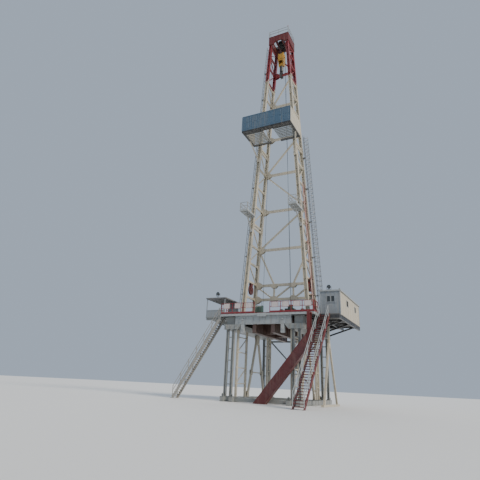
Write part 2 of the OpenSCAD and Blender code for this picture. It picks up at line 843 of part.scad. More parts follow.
module stair_sides() for (s = [-1, 1]) translate([0, s * (stair_w - stringer_t) / 2, 0]) children();

module left_stair() color("lightgray") place_rig() stair_at(true) stair_sides() {
    stringer(left_run, left_slope);
    stair_rail(left_run, left_slope);
}

module right_stair() color("firebrick") place_rig() stair_at(false) stair_sides()
    stringer(right_run, right_slope);

module right_stair_rails() color("lightgray") place_rig() stair_at(false) stair_sides() difference() {
    stair_rail(right_run, right_slope);
    stringer(right_run, right_slope);
}

module treads(run, slope) {
    pitch = floor_z / left_steps;
    for (i = [1:left_steps - 1]) {
        z = floor_z - i * pitch;
        x = -i * run / left_steps;
        block([x - tread_d / 2, -stair_w / 2 + stringer_t + fit, z - 20],
            [x + tread_d / 2, stair_w / 2 - stringer_t - fit, z]);
    }
}

module stair_treads() color("gray") place_rig() {
    stair_at(true) treads(left_run, left_slope);
    stair_at(false) treads(right_run, right_slope);
}

// Slide that leans in front of the floor: two side plates, a bottom plate, and a hanger at its top
slide_t = 16;
slide_bottom_t = 24;
slide_y = -floor_front - 90 - slide_w;
slide_top_x = floor_right - 60;
slide_top_z = 3650;
slide_run = slide_top_z / tan(slide_slope);
slide_drop = slide_h / cos(slide_slope);
hanger_w = 160;
hanger_h = 60;
module slide_outline(depth) polygon([
    [slide_top_x, slide_top_z - slide_drop + depth], [slide_top_x, slide_top_z - slide_drop],
    [slide_top_x - slide_run + slide_drop / tan(slide_slope), 0],
    [slide_top_x - slide_run + (slide_drop - depth) / tan(slide_slope), 0]
]);
module slide() color("maroon") place_rig() {
    sides = [slide_y, slide_y + slide_w - slide_t];
    hanger_x = slide_top_x - 60 - hanger_w;
    for (y = sides) translate([0, y + slide_t, 0]) rotate([90, 0, 0])
        linear_extrude(slide_t) slide_outline(slide_drop);
    translate([0, slide_y + slide_w, 0]) rotate([90, 0, 0])
        linear_extrude(slide_w) slide_outline(slide_bottom_t);
    block(
        [slide_top_x - slide_bottom_t, slide_y, slide_top_z - slide_drop],
        [slide_top_x, slide_y + slide_w, slide_top_z]
    );
    for (y = sides)
        block([hanger_x, y, slide_top_z - 400], [hanger_x + hanger_w, y + slide_t, deck_z + hanger_h]);
    block([hanger_x, slide_y, deck_z], [hanger_x + hanger_w, -floor_front, deck_z + hanger_h]);
}

// Mast

// Left and right lattice sides of one section of the mast, tied at the given levels. Square plates stand
// on the legs' ends at the given heights, where the sections are bolted together
joint_plate_t = 20;
joint_plate_out = 16;
module leg_frames(low, high, levels, plates, open_bay = -1) for (side = [-1, 1]) {
    for (face = [-1, 1]) {
        side_bar(leg_at(side, face, low), leg_at(side, face, high))
            h_section(leg_w, leg_w, leg_flange, leg_web);
        for (z = plates) side_bar(leg_at(side, face, z), leg_at(side, face, z + joint_plate_t))
            box_section(leg_w + 2 * joint_plate_out, leg_w + 2 * joint_plate_out);
    }
    for (z = levels) side_bar(leg_at(side, -1, z), leg_at(side, 1, z))
        box_section(side_strut, side_strut);
    for (i = [0:len(levels) - 2]) {
        face = i % 2 == 0 ? -1 : 1;
        if (i != open_bay)
            side_bar(leg_at(side, face, levels[i]), leg_at(side, -face, levels[i + 1]))
                box_section(side_brace, side_brace);
    }
}

foot_w = 340;
module lower_leg_frames() color("ivory") place_rig() {
    leg_frames(leg_foot_z, joint_z[0], [
        chord_low, saddle_strut_z, (saddle_strut_z + node_z[0]) / 2, node_z[0],
        joint_z[0] - joint_half
    ], [joint_z[0] - joint_plate_t], open_bay = 0);
    for (side = [-1, 1], face = [-1, 1]) translate(leg_at(side, face, floor_z))
        translate([-foot_w / 2, -foot_w / 2, 0]) cube([foot_w, foot_w, foot_t]);
}

module middle_leg_frames() color("ivory") place_rig() leg_frames(joint_z[0], joint_z[1], [
    joint_z[0] + joint_half, node_z[1], (node_z[1] + node_z[2]) / 2, node_z[2],
    joint_z[1] - joint_half
], [joint_z[0], joint_z[1] - joint_plate_t]);

module upper_leg_frames() color("ivory") place_rig() leg_frames(joint_z[1], joint_z[2], [
    joint_z[1] + joint_half, node_z[3], (node_z[3] + node_z[4]) / 2, node_z[4],
    joint_z[2] - joint_half
], [joint_z[1], joint_z[2] - joint_plate_t]);

// A big block over height z, to cut off what reaches past it
module space_above(z) translate([-mast_base_w, -mast_base_w, z])
    cube([2 * mast_base_w, 2 * mast_base_w, mast_h]);

module top_leg_frames() color("firebrick") place_rig() difference() {
    leg_frames(joint_z[2], crown_z + 30, [
        joint_z[2] + joint_half, node_z[5], (node_z[5] + crown_z) / 2, crown_z - side_strut
    ], [joint_z[2]]);
    space_above(crown_z);
}

// A leg's outline with room round it, to cut what butts against it
module leg_room(side, face) side_bar(leg_at(side, face, floor_z - 200), leg_at(side, face, crown_z + 200))
    box_section(leg_w + 2 * fit, leg_w + 2 * fit);

module back_leg_room() for (side = [-1, 1]) leg_room(side, 1);

module back_beam(z, h = beam_h, room = 0) face_bar(leg_at(-1, 1, z), leg_at(1, 1, z))
    box_section(h + 2 * room, beam_h + 2 * room);

// Chords, uprights and slanted bars of the truss across the back, over the floor
module base_truss() color("ivory") place_rig() difference() {
    union() {
        for (z = [chord_low, chord_high]) back_beam(z);
        for (s = [-1, 1]) {
            third_low = [s * leg_x(chord_low) / 3, leg_y(chord_low), chord_low];
            third_high = [s * leg_x(chord_high) / 3, leg_y(chord_high), chord_high];
            face_bar(third_low, third_high) box_section(brace_w, brace_w);
            face_bar(third_low, leg_at(s, 1, chord_high)) box_section(brace_w, brace_w - 10);
        }
        face_bar(
            [-leg_x(chord_low) / 3, leg_y(chord_low), chord_low],
            [leg_x(chord_high) / 3, leg_y(chord_high), chord_high]
        ) box_section(brace_w, brace_w - 20);
    }
    back_leg_room();
}

// Beams across the back and one long diagonal in each bay, every bar butted on its neighbours
module back_bracing() color("ivory") place_rig() {
    difference() {
        for (i = [0:4]) back_beam(node_z[i]);
        back_leg_room();
    }
    difference() {
        union() {
            for (i = [0:3]) {
                s = i % 2 == 0 ? -1 : 1;
                face_bar(leg_at(s, 1, node_z[i]), leg_at(-s, 1, node_z[i + 1]))
                    box_section(brace_w, brace_w);
            }
            for (s = [-1, 1]) face_bar(
                [s * leg_x(chord_high) / 3, leg_y(chord_high), chord_high],
                leg_at(s, 1, node_z[0])
            ) box_section(brace_w, brace_w);
        }
        back_leg_room();
        for (i = [0:4]) back_beam(node_z[i], room = fit);
        back_beam(chord_high, room = fit);
    }
}

module top_bracing() color("firebrick") place_rig() {
    difference() {
        back_beam(node_z[5]);
        back_leg_room();
    }
    difference() {
        union() {
            face_bar(leg_at(-1, 1, node_z[4]), leg_at(1, 1, node_z[5])) box_section(brace_w, brace_w);
            face_bar(leg_at(1, 1, node_z[5]), leg_at(-1, 1, crown_z - 60)) box_section(brace_w, brace_w);
        }
        back_leg_room();
        back_beam(node_z[4], room = fit);
        back_beam(node_z[5], room = fit);
        space_above(crown_z - fit);
    }
}

// Crown

crown_half_x = mast_top_w / 2 + crown_out;
crown_half_y = mast_top_d / 2 + crown_out;
crown_shaft_z = crown_z + crown_h * 0.55;
crown_beam = 110;
stack_half = sheaves * sheave_t / 2 + 40;
cradle_w = 100;
cradle_h = 200;
bearing_r = 110;
bearing_out = 8;
shaft_r = 60;
fast_r = 110;
fast_y = crown_half_y - crown_beam - fast_r - 30;
fast_shaft_r = 30;
shaft_l = 2 * (stack_half + cradle_w + 20);
notch = (mast_top_w - leg_w) / 2 - 100;

// Box beams round the crown with cut-outs below, and two cradle beams that hold the shafts
module crown_frame() color("maroon") place_rig() {
    difference() {
        block([-crown_half_x, -crown_half_y, crown_z], [crown_half_x, crown_half_y, crown_top]);
        block(
            [-crown_half_x + crown_beam, -crown_half_y + crown_beam, crown_z - 1],
            [crown_half_x - crown_beam, crown_half_y - crown_beam, crown_top + 1]
        );
        for (s = [-1, 1]) translate([0, s * crown_half_y, crown_z - 1]) rotate([90, 0, 0])
            linear_extrude(2 * crown_beam + 20, center = true) polygon([
                [-notch, 0], [-notch + 190, 260], [notch - 190, 260], [notch, 0]
            ]);
    }
    both_sides() difference() {
        union() {
            block(
                [stack_half, -crown_half_y + crown_beam - 1, crown_shaft_z - cradle_h],
                [stack_half + cradle_w, crown_half_y - crown_beam + 1, crown_shaft_z + bearing_r - 20]
            );
            translate([stack_half - bearing_out, 0, crown_shaft_z]) rotate([0, 90, 0])
                cylinder(r = bearing_r, h = cradle_w + 2 * bearing_out);
        }
        translate([0, 0, crown_shaft_z]) rotate([0, 90, 0])
            cylinder(r = shaft_r + fit, h = shaft_l + 2, center = true);
        translate([0, fast_y, crown_shaft_z]) rotate([0, 90, 0])
            cylinder(r = fast_shaft_r + fit, h = shaft_l + 2, center = true);
    }
}

// A sheave on an axis along X, with a groove that a line lies in
module sheave(r, t) rotate([0, 90, 0]) rotate_extrude() polygon([
    [0, -t / 2], [r, -t / 2], [r, -line_r - 1], [r - 2 * line_r, -line_r - 1],
    [r - 2 * line_r, line_r + 1], [r, line_r + 1], [r, t / 2], [0, t / 2]
]);

// Distance from a sheave's shaft to the middle of a line in its groove
function line_at(r) = r - line_r + fit;

module sheave_stack(r) for (i = [0:sheaves - 1])
    translate([(i - (sheaves - 1) / 2) * sheave_t, 0, 0]) sheave(r, sheave_t - 6);

module crown_sheaves() color("dimgray") place_rig() translate([0, 0, crown_shaft_z]) {
    rotate([0, 90, 0]) cylinder(r = shaft_r, h = shaft_l, center = true);
    sheave_stack(crown_sheave_r);
    translate([0, fast_y, 0]) {
        rotate([0, 90, 0]) cylinder(r = fast_shaft_r, h = shaft_l, center = true);
        sheave(fast_r, sheave_t - 6);
    }
}

// Rail panels round the crown, with the warning lamp's post at a corner
module crown_rails() color("lightgray") place_rig() translate([0, 0, crown_top]) {
    x = crown_half_x - rail_w / 2;
    y = crown_half_y - rail_w / 2;
    inner = y - rail_w / 2 - fit;
    for (py = [-y, y]) guard_panel([-x - rail_w / 2, py, 0], [x + rail_w / 2, py, 0], 3, crown_rail_h);
    for (px = [-x, x]) guard_panel([px, -inner, 0], [px, inner, 0], 3, crown_rail_h);
    translate([x, -y, crown_rail_h - 1]) cylinder(r = 14, h = beacon_h * 0.4);
    translate([x, -y, crown_rail_h + beacon_h * 0.3]) cylinder(r = 30, h = beacon_h * 0.7);
}

// Monkey board

board_floor_z = floor_z + board_z;
board_off = 50;
board_back_y = -leg_y(board_floor_z) - leg_w / 2 - board_off;
board_front_y = board_back_y - board_d;
board_beam = 110;
wind_t = 16;

// Walkways round an open middle, hung on the front legs
board_half = board_out_w / 2;
walk_w = 320;
side_walk_w = 110;
module board_floor() color("dimgray") place_rig() translate([0, 0, board_floor_z]) {
    block([-board_half, board_front_y, -board_beam], [board_half, board_front_y + walk_w, 0]);
    both_sides() {
        block([board_half - side_walk_w, board_front_y, -board_beam], [board_half, board_back_y, 0]);
        block(
            [board_gap / 2, board_back_y - side_walk_w, -board_beam],
            [board_half, board_back_y, 0]
        );
        difference() {
            block(
                [leg_x(board_floor_z) - leg_w / 2, board_back_y - 1, -board_beam + 10],
                [leg_x(board_floor_z) + leg_w / 2, board_back_y + board_off + leg_w, -10]
            );
            translate([0, 0, -board_floor_z]) leg_room(1, -1);
            translate([0, board_back_y + board_off + leg_w / 2, -board_beam])
                cube([4000, leg_w, board_beam]);
        }
    }
}

// Bars that pipes lean between, held at their outer ends and open towards the middle
finger_w = 50;
finger_h = 60;
module pipe_fingers() color("gray") place_rig() translate([0, 0, board_floor_z]) both_sides() {
    from = board_front_y + walk_w;
    pitch = (board_back_y - side_walk_w - from) / (fingers + 1);
    for (i = [1:fingers]) block(
        [board_gap / 2, from + i * pitch - finger_w / 2, -finger_h],
        [board_half - side_walk_w, from + i * pitch + finger_w / 2, 0]
    );
}

module board_front_wall() color("steelblue") place_rig() translate([0, 0, board_floor_z]) {
    half = board_out_w / 2;
    block([-half, board_front_y, 0], [half, board_front_y + wind_t, wind_h]);
    panels = 6;
    for (i = [0:panels]) block(
        [-half + i * (2 * half - 20) / panels, board_front_y + wind_t - 1, 0],
        [-half + i * (2 * half - 20) / panels + 20, board_front_y + wind_t + 24, wind_h]
    );
}

module board_side_walls() color("ivory") place_rig() translate([0, 0, board_floor_z]) both_sides() {
    half = board_out_w / 2;
    block([half - wind_t, board_front_y + 45, 0], [half, board_back_y, wind_h]);
    for (y = [board_front_y + 45, (board_front_y + board_back_y) / 2, board_back_y - 20])
        block([half - wind_t - 24, y, 0], [half - wind_t + 1, y + 20, wind_h]);
}

// Slanted struts under the monkey board, from a plate on each front leg to the board's side walkway
strut_drop = 1250;
strut_reach = 800;
strut_w = 70;
strut_plate_t = 60;
strut_plate_h = 260;
module board_struts() color("lightgray") place_rig() both_sides() difference() {
    foot = leg_at(1, -1, board_floor_z - strut_drop) + [0, -(leg_w + strut_plate_t) / 2, 0];
    union() {
        side_bar(foot, [
            board_half - strut_plate_t, board_back_y - strut_reach,
            board_floor_z - board_beam + strut_w / 2
        ]) box_section(strut_w, strut_w);
        translate(foot) cube([leg_w, strut_plate_t, strut_plate_h], center = true);
    }
    leg_room(1, -1);
    space_above(board_floor_z - board_beam);
}

// Balconies in front of the front legs
balcony_floor_z = floor_z + balcony_z;
balcony_off = 120;
balcony_deck_t = 50;
balcony_brace_drop = 900;
balcony_brace_reach = 450;
balcony_brace_w = 60;
balcony_plate_h = 200;
balcony_back_y = -leg_y(balcony_floor_z) - leg_w / 2 - balcony_off;
module balconies() color("dimgray") place_rig() both_sides() {
    x0 = leg_x(balcony_floor_z) - balcony_w / 2 - 20;
    x1 = x0 + balcony_w;
    y0 = balcony_back_y - balcony_d;
    rail_h2 = rail_h * 0.9;
    under = balcony_floor_z - balcony_deck_t;
    foot = leg_at(1, -1, balcony_floor_z - balcony_brace_drop) + [0, -(leg_w + balcony_brace_w) / 2, 0];
    difference() {
        union() {
            block([x0, y0, under], [x1, balcony_back_y, balcony_floor_z]);
            block(
                [leg_x(balcony_floor_z) - leg_w / 2, balcony_back_y - 1, under],
                [leg_x(balcony_floor_z) + leg_w / 2, balcony_back_y + balcony_off + 60, balcony_floor_z]
            );
            side_bar(foot, [x0 + balcony_w / 2, y0 + balcony_brace_reach, under + balcony_brace_w / 2])
                box_section(balcony_brace_w, balcony_brace_w);
            translate(foot) cube([leg_w, balcony_brace_w, balcony_plate_h], center = true);
        }
        leg_room(1, -1);
        space_above(balcony_floor_z);
    }
    translate([0, 0, balcony_floor_z + fit]) {
        for (x = [x0, x1 - rail_w]) translate([rail_w / 2, 0, 0])
            guard_panel([x, y0 + rail_w + fit, 0], [x, balcony_back_y, 0], 3, rail_h2);
        guard_panel([x0, y0 + rail_w / 2, 0], [x1, y0 + rail_w / 2, 0], 2, rail_h2);
    }
}

// Ladders and pipes

// Draws what follows in a frame that climbs beside a leg, its Z along the ladder
module along_ladder(side, face, top) {
    foot = leg_at(side, face, floor_z) + [side * ladder_out, 0, 0];
    v = leg_at(side, face, top) - leg_at(side, face, floor_z);
    translate(foot) rotate([-asin(v.y / norm(v)), atan2(v.x, v.z), 0]) children();
}

function ladder_l(top) = norm(leg_at(1, 1, top) - leg_at(1, 1, floor_z));

// Two stiles with rungs, held off its leg by short arms
stile = 24;
rung_r = 9;
arm_first = 1500;
arm_gap = 2400;
arm_h = 20;
module ladder(side, face, top) {
    l = ladder_l(top);
    along_ladder(side, face, top) {
        for (y = [-1, 1])
            translate([-stile / 2, y * ladder_w / 2 - stile / 2, foot_t]) cube([stile, stile, l - foot_t]);
        for (z = [rung_gap:rung_gap:l - rung_gap / 3]) translate([0, 0, z]) rotate([90, 0, 0])
            cylinder(r = rung_r, h = ladder_w, center = true, $fn = 6);
    }
    difference() {
        for (z = [floor_z + arm_first:arm_gap:top - rung_gap]) face_bar(
            leg_at(side, face, z) + [side * leg_w * 0.4, 0, 0],
            leg_at(side, face, z) + [side * ladder_out, 0, 0]
        ) box_section(arm_h, ladder_w + arm_h / 2);
        leg_room(side, face);
    }
}

module left_ladder() color("silver") place_rig() ladder(-1, -1, crown_z - 200);

cage_over = 900;
cage_top = board_floor_z + cage_over;
cage_foot = 1500;
cage_end = 200;
module right_ladder() color("silver") place_rig() ladder(1, 1, cage_top);

// Hoops and upright strips round the right ladder, butted on its stiles
module ladder_cage() color("silver") place_rig() along_ladder(1, 1, cage_top) {
    l = ladder_l(cage_top);
    hoop_w = 24;
    strip = 16;
    x = stile / 2 + fit;
    for (z = [cage_foot:hoop_every * rung_gap:l - cage_end]) translate([0, 0, z - hoop_w / 2])
        linear_extrude(hoop_w) intersection() {
            translate([hoop_r * 0.8, 0]) difference() {
                circle(r = hoop_r);
                circle(r = hoop_r - 10);
            }
            translate([x, -hoop_r]) square([2 * hoop_r, 2 * hoop_r]);
        }
    hoop_gap = hoop_every * rung_gap;
    top = cage_foot + floor((l - cage_end - cage_foot) / hoop_gap) * hoop_gap;
    for (a = [-60, 0, 60]) translate([hoop_r * 0.8, 0, cage_foot - hoop_w / 2]) rotate([0, 0, a])
        translate([hoop_r - 14, -strip / 2, 0]) cube([8, strip, top - cage_foot + hoop_w]);
}

// Mud pipes up the right side of the mast, clamped to its side struts, with bent tops
pipe_y = 120;
pipe_off = 50;
pipe_bend = 260;
clamp_w = 400;
clamp_h = 60;
module standpipes() color("firebrick") place_rig() {
    top = floor_z + pipe_top;
    out = side_strut / 2 + pipe_r + pipe_off;
    for (y = [-pipe_y, pipe_y]) {
        head = [leg_x(top) + out, y, top + y];
        intersection() {
            side_bar([leg_x(floor_z - 20) + out, y, floor_z - 20], head) circle(r = pipe_r);
            space_above(floor_z);
        }
        translate(head) sphere(r = pipe_r + 8);
        side_bar(head, head + [-leg_w * 0.2, 0, pipe_bend]) circle(r = pipe_r * 0.8);
    }
    for (z = [chord_low, saddle_strut_z, node_z[0], node_z[1]])
        translate([leg_x(z) + side_strut / 2 + fit, -clamp_w / 2, z - clamp_h / 2])
            cube([pipe_r + pipe_off, clamp_w, clamp_h]);
}

// Sheaves for the raising lines, each between two cheek plates hung from a side strut
module raising_sheaves() color("darkred") place_rig() both_sides() {
    z = chord_high - raising_r - 100;
    saddle = saddle_strut_z - side_strut / 2 - fit - z;
    translate([leg_x(z), 0, z]) {
        sheave(raising_r, 80);
        rotate([0, 90, 0]) cylinder(r = 50, h = 170, center = true);
        for (s = [-1, 1]) translate([s * 60 - 10, 0, 0]) rotate([90, 0, 90]) linear_extrude(20) polygon([
            [-90, -60], [90, -60], [150, saddle], [-150, saddle]
        ]);
        block([-70, -150, saddle - 50], [70, 150, saddle]);
    }
}

// Hoisting gear

block_shaft_z = crown_shaft_z - block_drop;
block_plate_x = sheaves * sheave_t / 2 + 10;
block_low = block_shaft_z - block_h + 480;

module travelling_block() color("gold") place_rig() {
    translate([0, 0, block_shaft_z]) {
        sheave_stack(block_sheave_r);
        rotate([0, 90, 0]) cylinder(r = 60, h = 2 * block_plate_x + 100, center = true);
    }
    for (s = [-1, 1]) translate([s * (block_plate_x + 15) - 15, 0, 0]) rotate([90, 0, 90])
        linear_extrude(30) polygon([
            [-120, block_low], [120, block_low], [block_w / 2, block_low + 420],
            [block_w / 2, block_shaft_z + 160], [block_w / 2 - 130, block_shaft_z + 340],
            [-block_w / 2 + 130, block_shaft_z + 340], [-block_w / 2, block_shaft_z + 160],
            [-block_w / 2, block_low + 420]
        ]);
    block([-block_plate_x - 1, -110, block_low], [block_plate_x + 1, 110, block_low + 260]);
    for (s = [-1, 1]) block(
        [-block_plate_x - 1, s * 250 - 20, block_low + 430],
        [block_plate_x + 1, s * 250 + 20, block_low + 560]
    );
}

module hook() color("dimgray") place_rig() translate([0, 0, block_low]) {
    translate([0, 0, -hook_h * 0.45]) cylinder(r = 130, h = hook_h * 0.45);
    translate([0, 0, -hook_h * 0.6]) cylinder(r = 85, h = hook_h * 0.2);
    translate([0, 0, -hook_h + 270]) rotate([90, 0, 90]) linear_extrude(130, center = true)
        difference() {
            union() {
                circle(r = 260);
                translate([-90, 0]) square([180, 330]);
            }
            circle(r = 150);
            polygon([[0, 0], [420, 60], [420, 420], [90, 420], [90, 130]]);
        }
}

// Lines between the crown's and the block's sheaves, in two rows
module drilling_lines() color("black") place_rig()
    for (i = [0:sheaves - 1], s = [-1, 1]) line(
        [(i - (sheaves - 1) / 2) * sheave_t, s * line_at(block_sheave_r), block_shaft_z],
        [(i - (sheaves - 1) / 2) * sheave_t, s * line_at(crown_sheave_r), crown_shaft_z]
    );

module line(a, b) side_bar(a, b) circle(r = line_r, $fn = 8);

// Lines that run the whole height: the fast line to the winch and two light hoist lines
hoist_foot_x = 900;
hoist_foot_y = 400;
module hoist_lines() color("black") place_rig() {
    line(
        [0, drum_y - drum_r - line_r - fit, floor_z + drum_z],
        [0, fast_y + line_at(fast_r), crown_shaft_z]
    );
    for (s = [-1, 1]) line(
        [s * hoist_foot_x, -hoist_foot_y, floor_z + 2 * fit],
        [s * (notch + 50), -crown_half_y + crown_beam / 2, crown_z - 2 * fit]
    );
}

// Lamps on the two roofs
lamp_r = 105;
lamp_l = 120;
lamp_h = 240;
lamp_in = 100;
module floodlights() color("black") place_rig() {
    for (p = [
        [shelter_end_x + shelter_w * 0.55, shelter_y + lamp_in, floor_z + shelter_h + shelter_roof_t],
        [cabin_x + cabin_w * 0.4, cabin_y + 3 * lamp_in, floor_z + cabin_h + roof_t]
    ]) translate(p) {
        translate([-lamp_l / 2, -lamp_l / 2, 0]) cube([lamp_l, lamp_l, lamp_l / 10]);
        cylinder(r = lamp_r / 6, h = lamp_h * 0.7);
        translate([0, -10, lamp_h]) rotate([70, 0, 0])
            cylinder(r1 = lamp_r * 0.57, r2 = lamp_r, h = lamp_l, center = true);
    }
}

base_skids();
support_posts();
trestles();
rear_bracing();
cap_girders();
cross_girders();
rotary_beams();
drill_floor();
floor_edge();
rotary_table();
front_rails();
rail_boards();
rear_rails();
drawworks();
driller_console();
shelter_platform();
shelter_walls();
shelter_roof();
cabin_bracket();
cabin_support();
cabin_floor();
cabin_front_wall();
cabin_rear_wall();
cabin_left_wall();
cabin_right_wall();
cabin_door();
cabin_glass();
cabin_roof();
left_stair();
right_stair();
right_stair_rails();
stair_treads();
slide();
lower_leg_frames();
middle_leg_frames();
upper_leg_frames();
top_leg_frames();
base_truss();
back_bracing();
top_bracing();
crown_frame();
crown_sheaves();
crown_rails();
board_floor();
pipe_fingers();
board_front_wall();
board_side_walls();
board_struts();
balconies();
left_ladder();
right_ladder();
ladder_cage();
standpipes();
raising_sheaves();
travelling_block();
hook();
drilling_lines();
hoist_lines();
floodlights();
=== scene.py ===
import math

import bpy
from mathutils import Matrix, Vector


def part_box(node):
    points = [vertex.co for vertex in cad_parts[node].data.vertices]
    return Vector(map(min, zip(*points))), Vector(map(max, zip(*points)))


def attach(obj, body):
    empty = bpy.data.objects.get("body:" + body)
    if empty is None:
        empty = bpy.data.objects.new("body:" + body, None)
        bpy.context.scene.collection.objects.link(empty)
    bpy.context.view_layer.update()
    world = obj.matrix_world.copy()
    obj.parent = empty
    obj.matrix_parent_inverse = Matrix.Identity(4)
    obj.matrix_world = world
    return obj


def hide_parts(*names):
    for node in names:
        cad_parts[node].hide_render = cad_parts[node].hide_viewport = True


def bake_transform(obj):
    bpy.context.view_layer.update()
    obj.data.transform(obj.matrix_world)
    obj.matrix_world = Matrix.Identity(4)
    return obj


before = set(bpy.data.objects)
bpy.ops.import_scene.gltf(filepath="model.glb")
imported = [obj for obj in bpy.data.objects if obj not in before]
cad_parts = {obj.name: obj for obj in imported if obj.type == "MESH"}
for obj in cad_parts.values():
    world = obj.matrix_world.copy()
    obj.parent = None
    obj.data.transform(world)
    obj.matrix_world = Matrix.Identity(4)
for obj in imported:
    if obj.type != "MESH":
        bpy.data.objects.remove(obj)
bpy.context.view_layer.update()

# The camera stands on the ground in front of the rig, a little to its right, and looks up at it,
# turned as the photograph is: heading, tilt and lean were read from its vanishing lines.
camera_place = Vector((9.873, -22.139, 0.77))
heading, tilt, lean = (math.radians(a) for a in (27.28, 22.54, 2.85))
focal_px, frame_px = 414.34, 480
axis_px = (240.5, 214)
camera_data = bpy.data.cameras.new("camera")
camera = bpy.data.objects.new("camera", camera_data)
bpy.context.scene.collection.objects.link(camera)
bpy.context.scene.camera = camera
level = Vector((-math.sin(heading), math.cos(heading), 0))
side = Vector((math.cos(heading), math.sin(heading), 0))
ahead = level * math.cos(tilt) + Vector((0, 0, math.sin(tilt)))
above = level * -math.sin(tilt) + Vector((0, 0, math.cos(tilt)))
across = side * math.cos(lean) + above * math.sin(lean)
upward = above * math.cos(lean) - side * math.sin(lean)
looks = Matrix((across, upward, -ahead)).transposed().to_4x4()
camera.matrix_world = Matrix.Translation(camera_place) @ looks
camera_data.lens = camera_data.sensor_width * focal_px / frame_px
camera_data.shift_x = (frame_px / 2 - axis_px[0]) / frame_px
camera_data.shift_y = (axis_px[1] - frame_px / 2) / frame_px
camera_data.clip_end = 500

# The studio: a pale floor that runs out of sight, a soft sky and one broad warm light from the
# right, with a cooler one from behind on the left.
bpy.ops.mesh.primitive_plane_add(size=600, location=(0, 0, -0.002))
floor = bpy.context.object
floor.name = "studio_floor"
paper = bpy.data.materials.new("studio_paper")
paper.use_nodes = True
paper_shader = paper.node_tree.nodes["Principled BSDF"]
paper_shader.inputs["Base Color"].default_value = (0.74, 0.74, 0.73, 1)
paper_shader.inputs["Roughness"].default_value = 0.9
floor.data.materials.append(paper)
sky = bpy.data.worlds.new("studio_sky")
sky.use_nodes = True
sky.node_tree.nodes["Background"].inputs["Color"].default_value = (0.58, 0.69, 0.84, 1)
sky.node_tree.nodes["Background"].inputs["Strength"].default_value = 0.66
bpy.context.scene.world = sky
for name, turn, strength, spread_deg, tone in (
    ("key_light", (56, 0, 72), 3.3, 20, (1.0, 0.91, 0.78)),
    ("rim_light", (62, 0, 205), 0.8, 30, (0.86, 0.92, 1.0)),
):
    lamp_data = bpy.data.lights.new(name, "SUN")
    lamp_data.energy = strength
    lamp_data.angle = math.radians(spread_deg)
    lamp_data.color = tone
    lamp = bpy.data.objects.new(name, lamp_data)
    lamp.rotation_euler = [math.radians(a) for a in turn]
    bpy.context.scene.collection.objects.link(lamp)

# Base skids: two pairs of rolled steel beams that lie on the ground, with spreaders between them.
# They are sprayed grey, and have stiffeners between their flanges and pad eyes at their ends.
# Every piece is modelled about the well's line and then shifted to its place in the frame.
well_low, well_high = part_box("rotary_table")
well = Vector(((well_low.x + well_high.x) / 2, (well_low.y + well_high.y) / 2, 0))


def box_about_well(node):
    """A CAD node's lowest and highest corner, measured from the well's line."""
    return (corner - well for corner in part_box(node))


def on_its_own(*pieces):
    """Selects these pieces alone, with the first one active."""
    bpy.ops.object.select_all(action="DESELECT")
    for piece in pieces:
        piece.select_set(True)
    bpy.context.view_layer.objects.active = pieces[0]


def settled(piece, place=None):
    """Moves a piece's place, turn and size into its mesh, after setting them where one is given."""
    if place is not None:
        piece.matrix_world = place if isinstance(place, Matrix) else Matrix.Translation(place)
    on_its_own(piece)
    bpy.ops.object.transform_apply(location=True, rotation=True, scale=True)
    return piece


def edges_broken(piece, edge):
    """Takes the sharpness off every edge."""
    if edge:
        on_its_own(piece)
        bpy.ops.object.mode_set(mode="EDIT")
        bpy.ops.mesh.select_all(action="SELECT")
        bpy.ops.mesh.bevel(offset=edge, affect="EDGES", segments=1)
        bpy.ops.object.mode_set(mode="OBJECT")
    return piece


def turned(run, across=(0, 1, 0)):
    """The turn that lays a piece's Z along a run and keeps its Y as near to `across` as it goes."""
    z = Vector(run).normalized()
    x = Vector(across).cross(z).normalized()
    return Matrix((x, z.cross(x), z)).transposed().to_4x4()


def facing(point, direction):
    """The place of a piece that stands on a point and looks along a direction."""
    spare = (1, 0, 0) if abs(Vector(direction).normalized().y) > 0.9 else (0, 1, 0)
    return Matrix.Translation(point) @ turned(direction, spare)


def plate(low, high, edge=0.002):
    """A plate or a block between its lowest and its highest corner."""
    low, high = Vector(low), Vector(high)
    bpy.ops.mesh.primitive_cube_add(size=1, location=(low + high) / 2)
    bpy.context.object.scale = high - low
    return edges_broken(settled(bpy.context.object), edge)


def rod(start, end, radius, sides, edge=0.0):
    """A round bar or a disc from start to end."""
    start, end = Vector(start), Vector(end)
    bpy.ops.mesh.primitive_cylinder_add(vertices=sides, radius=radius, depth=(end - start).length)
    lies = facing((start + end) / 2, end - start)
    return edges_broken(settled(bpy.context.object, lies), edge)


def ring(centre, direction, radius, thick, rounds=40, sides=6):
    """A round bar bent into a ring round a centre."""
    bpy.ops.mesh.primitive_torus_add(
        major_segments=rounds, minor_segments=sides, major_radius=radius, minor_radius=thick
    )
    return settled(bpy.context.object, facing(centre, direction))


def joined(pieces):
    """Welds pieces into one."""
    pieces = pieces if isinstance(pieces, list) else [pieces]
    on_its_own(*pieces)
    if len(pieces) > 1:
        bpy.ops.object.join()
    return settled(bpy.context.object)


def duplicate(piece):
    """Another piece with a mesh of its own."""
    other = piece.copy()
    other.data = piece.data.copy()
    bpy.context.collection.objects.link(other)
    return other


def copies(pattern, places):
    """The pattern repeated at each place, as one piece."""
    made = []
    for place in places:
        made.append(duplicate(pattern))
        made[-1].matrix_world = place if isinstance(place, Matrix) else Matrix.Translation(place)
    bpy.data.objects.remove(pattern)
    return joined(made)


def normals_outward():
    """Turns every face of the active piece outward."""
    bpy.ops.object.mode_set(mode="EDIT")
    bpy.ops.mesh.select_all(action="SELECT")
    bpy.ops.mesh.normals_make_consistent(inside=False)
    bpy.ops.object.mode_set(mode="OBJECT")


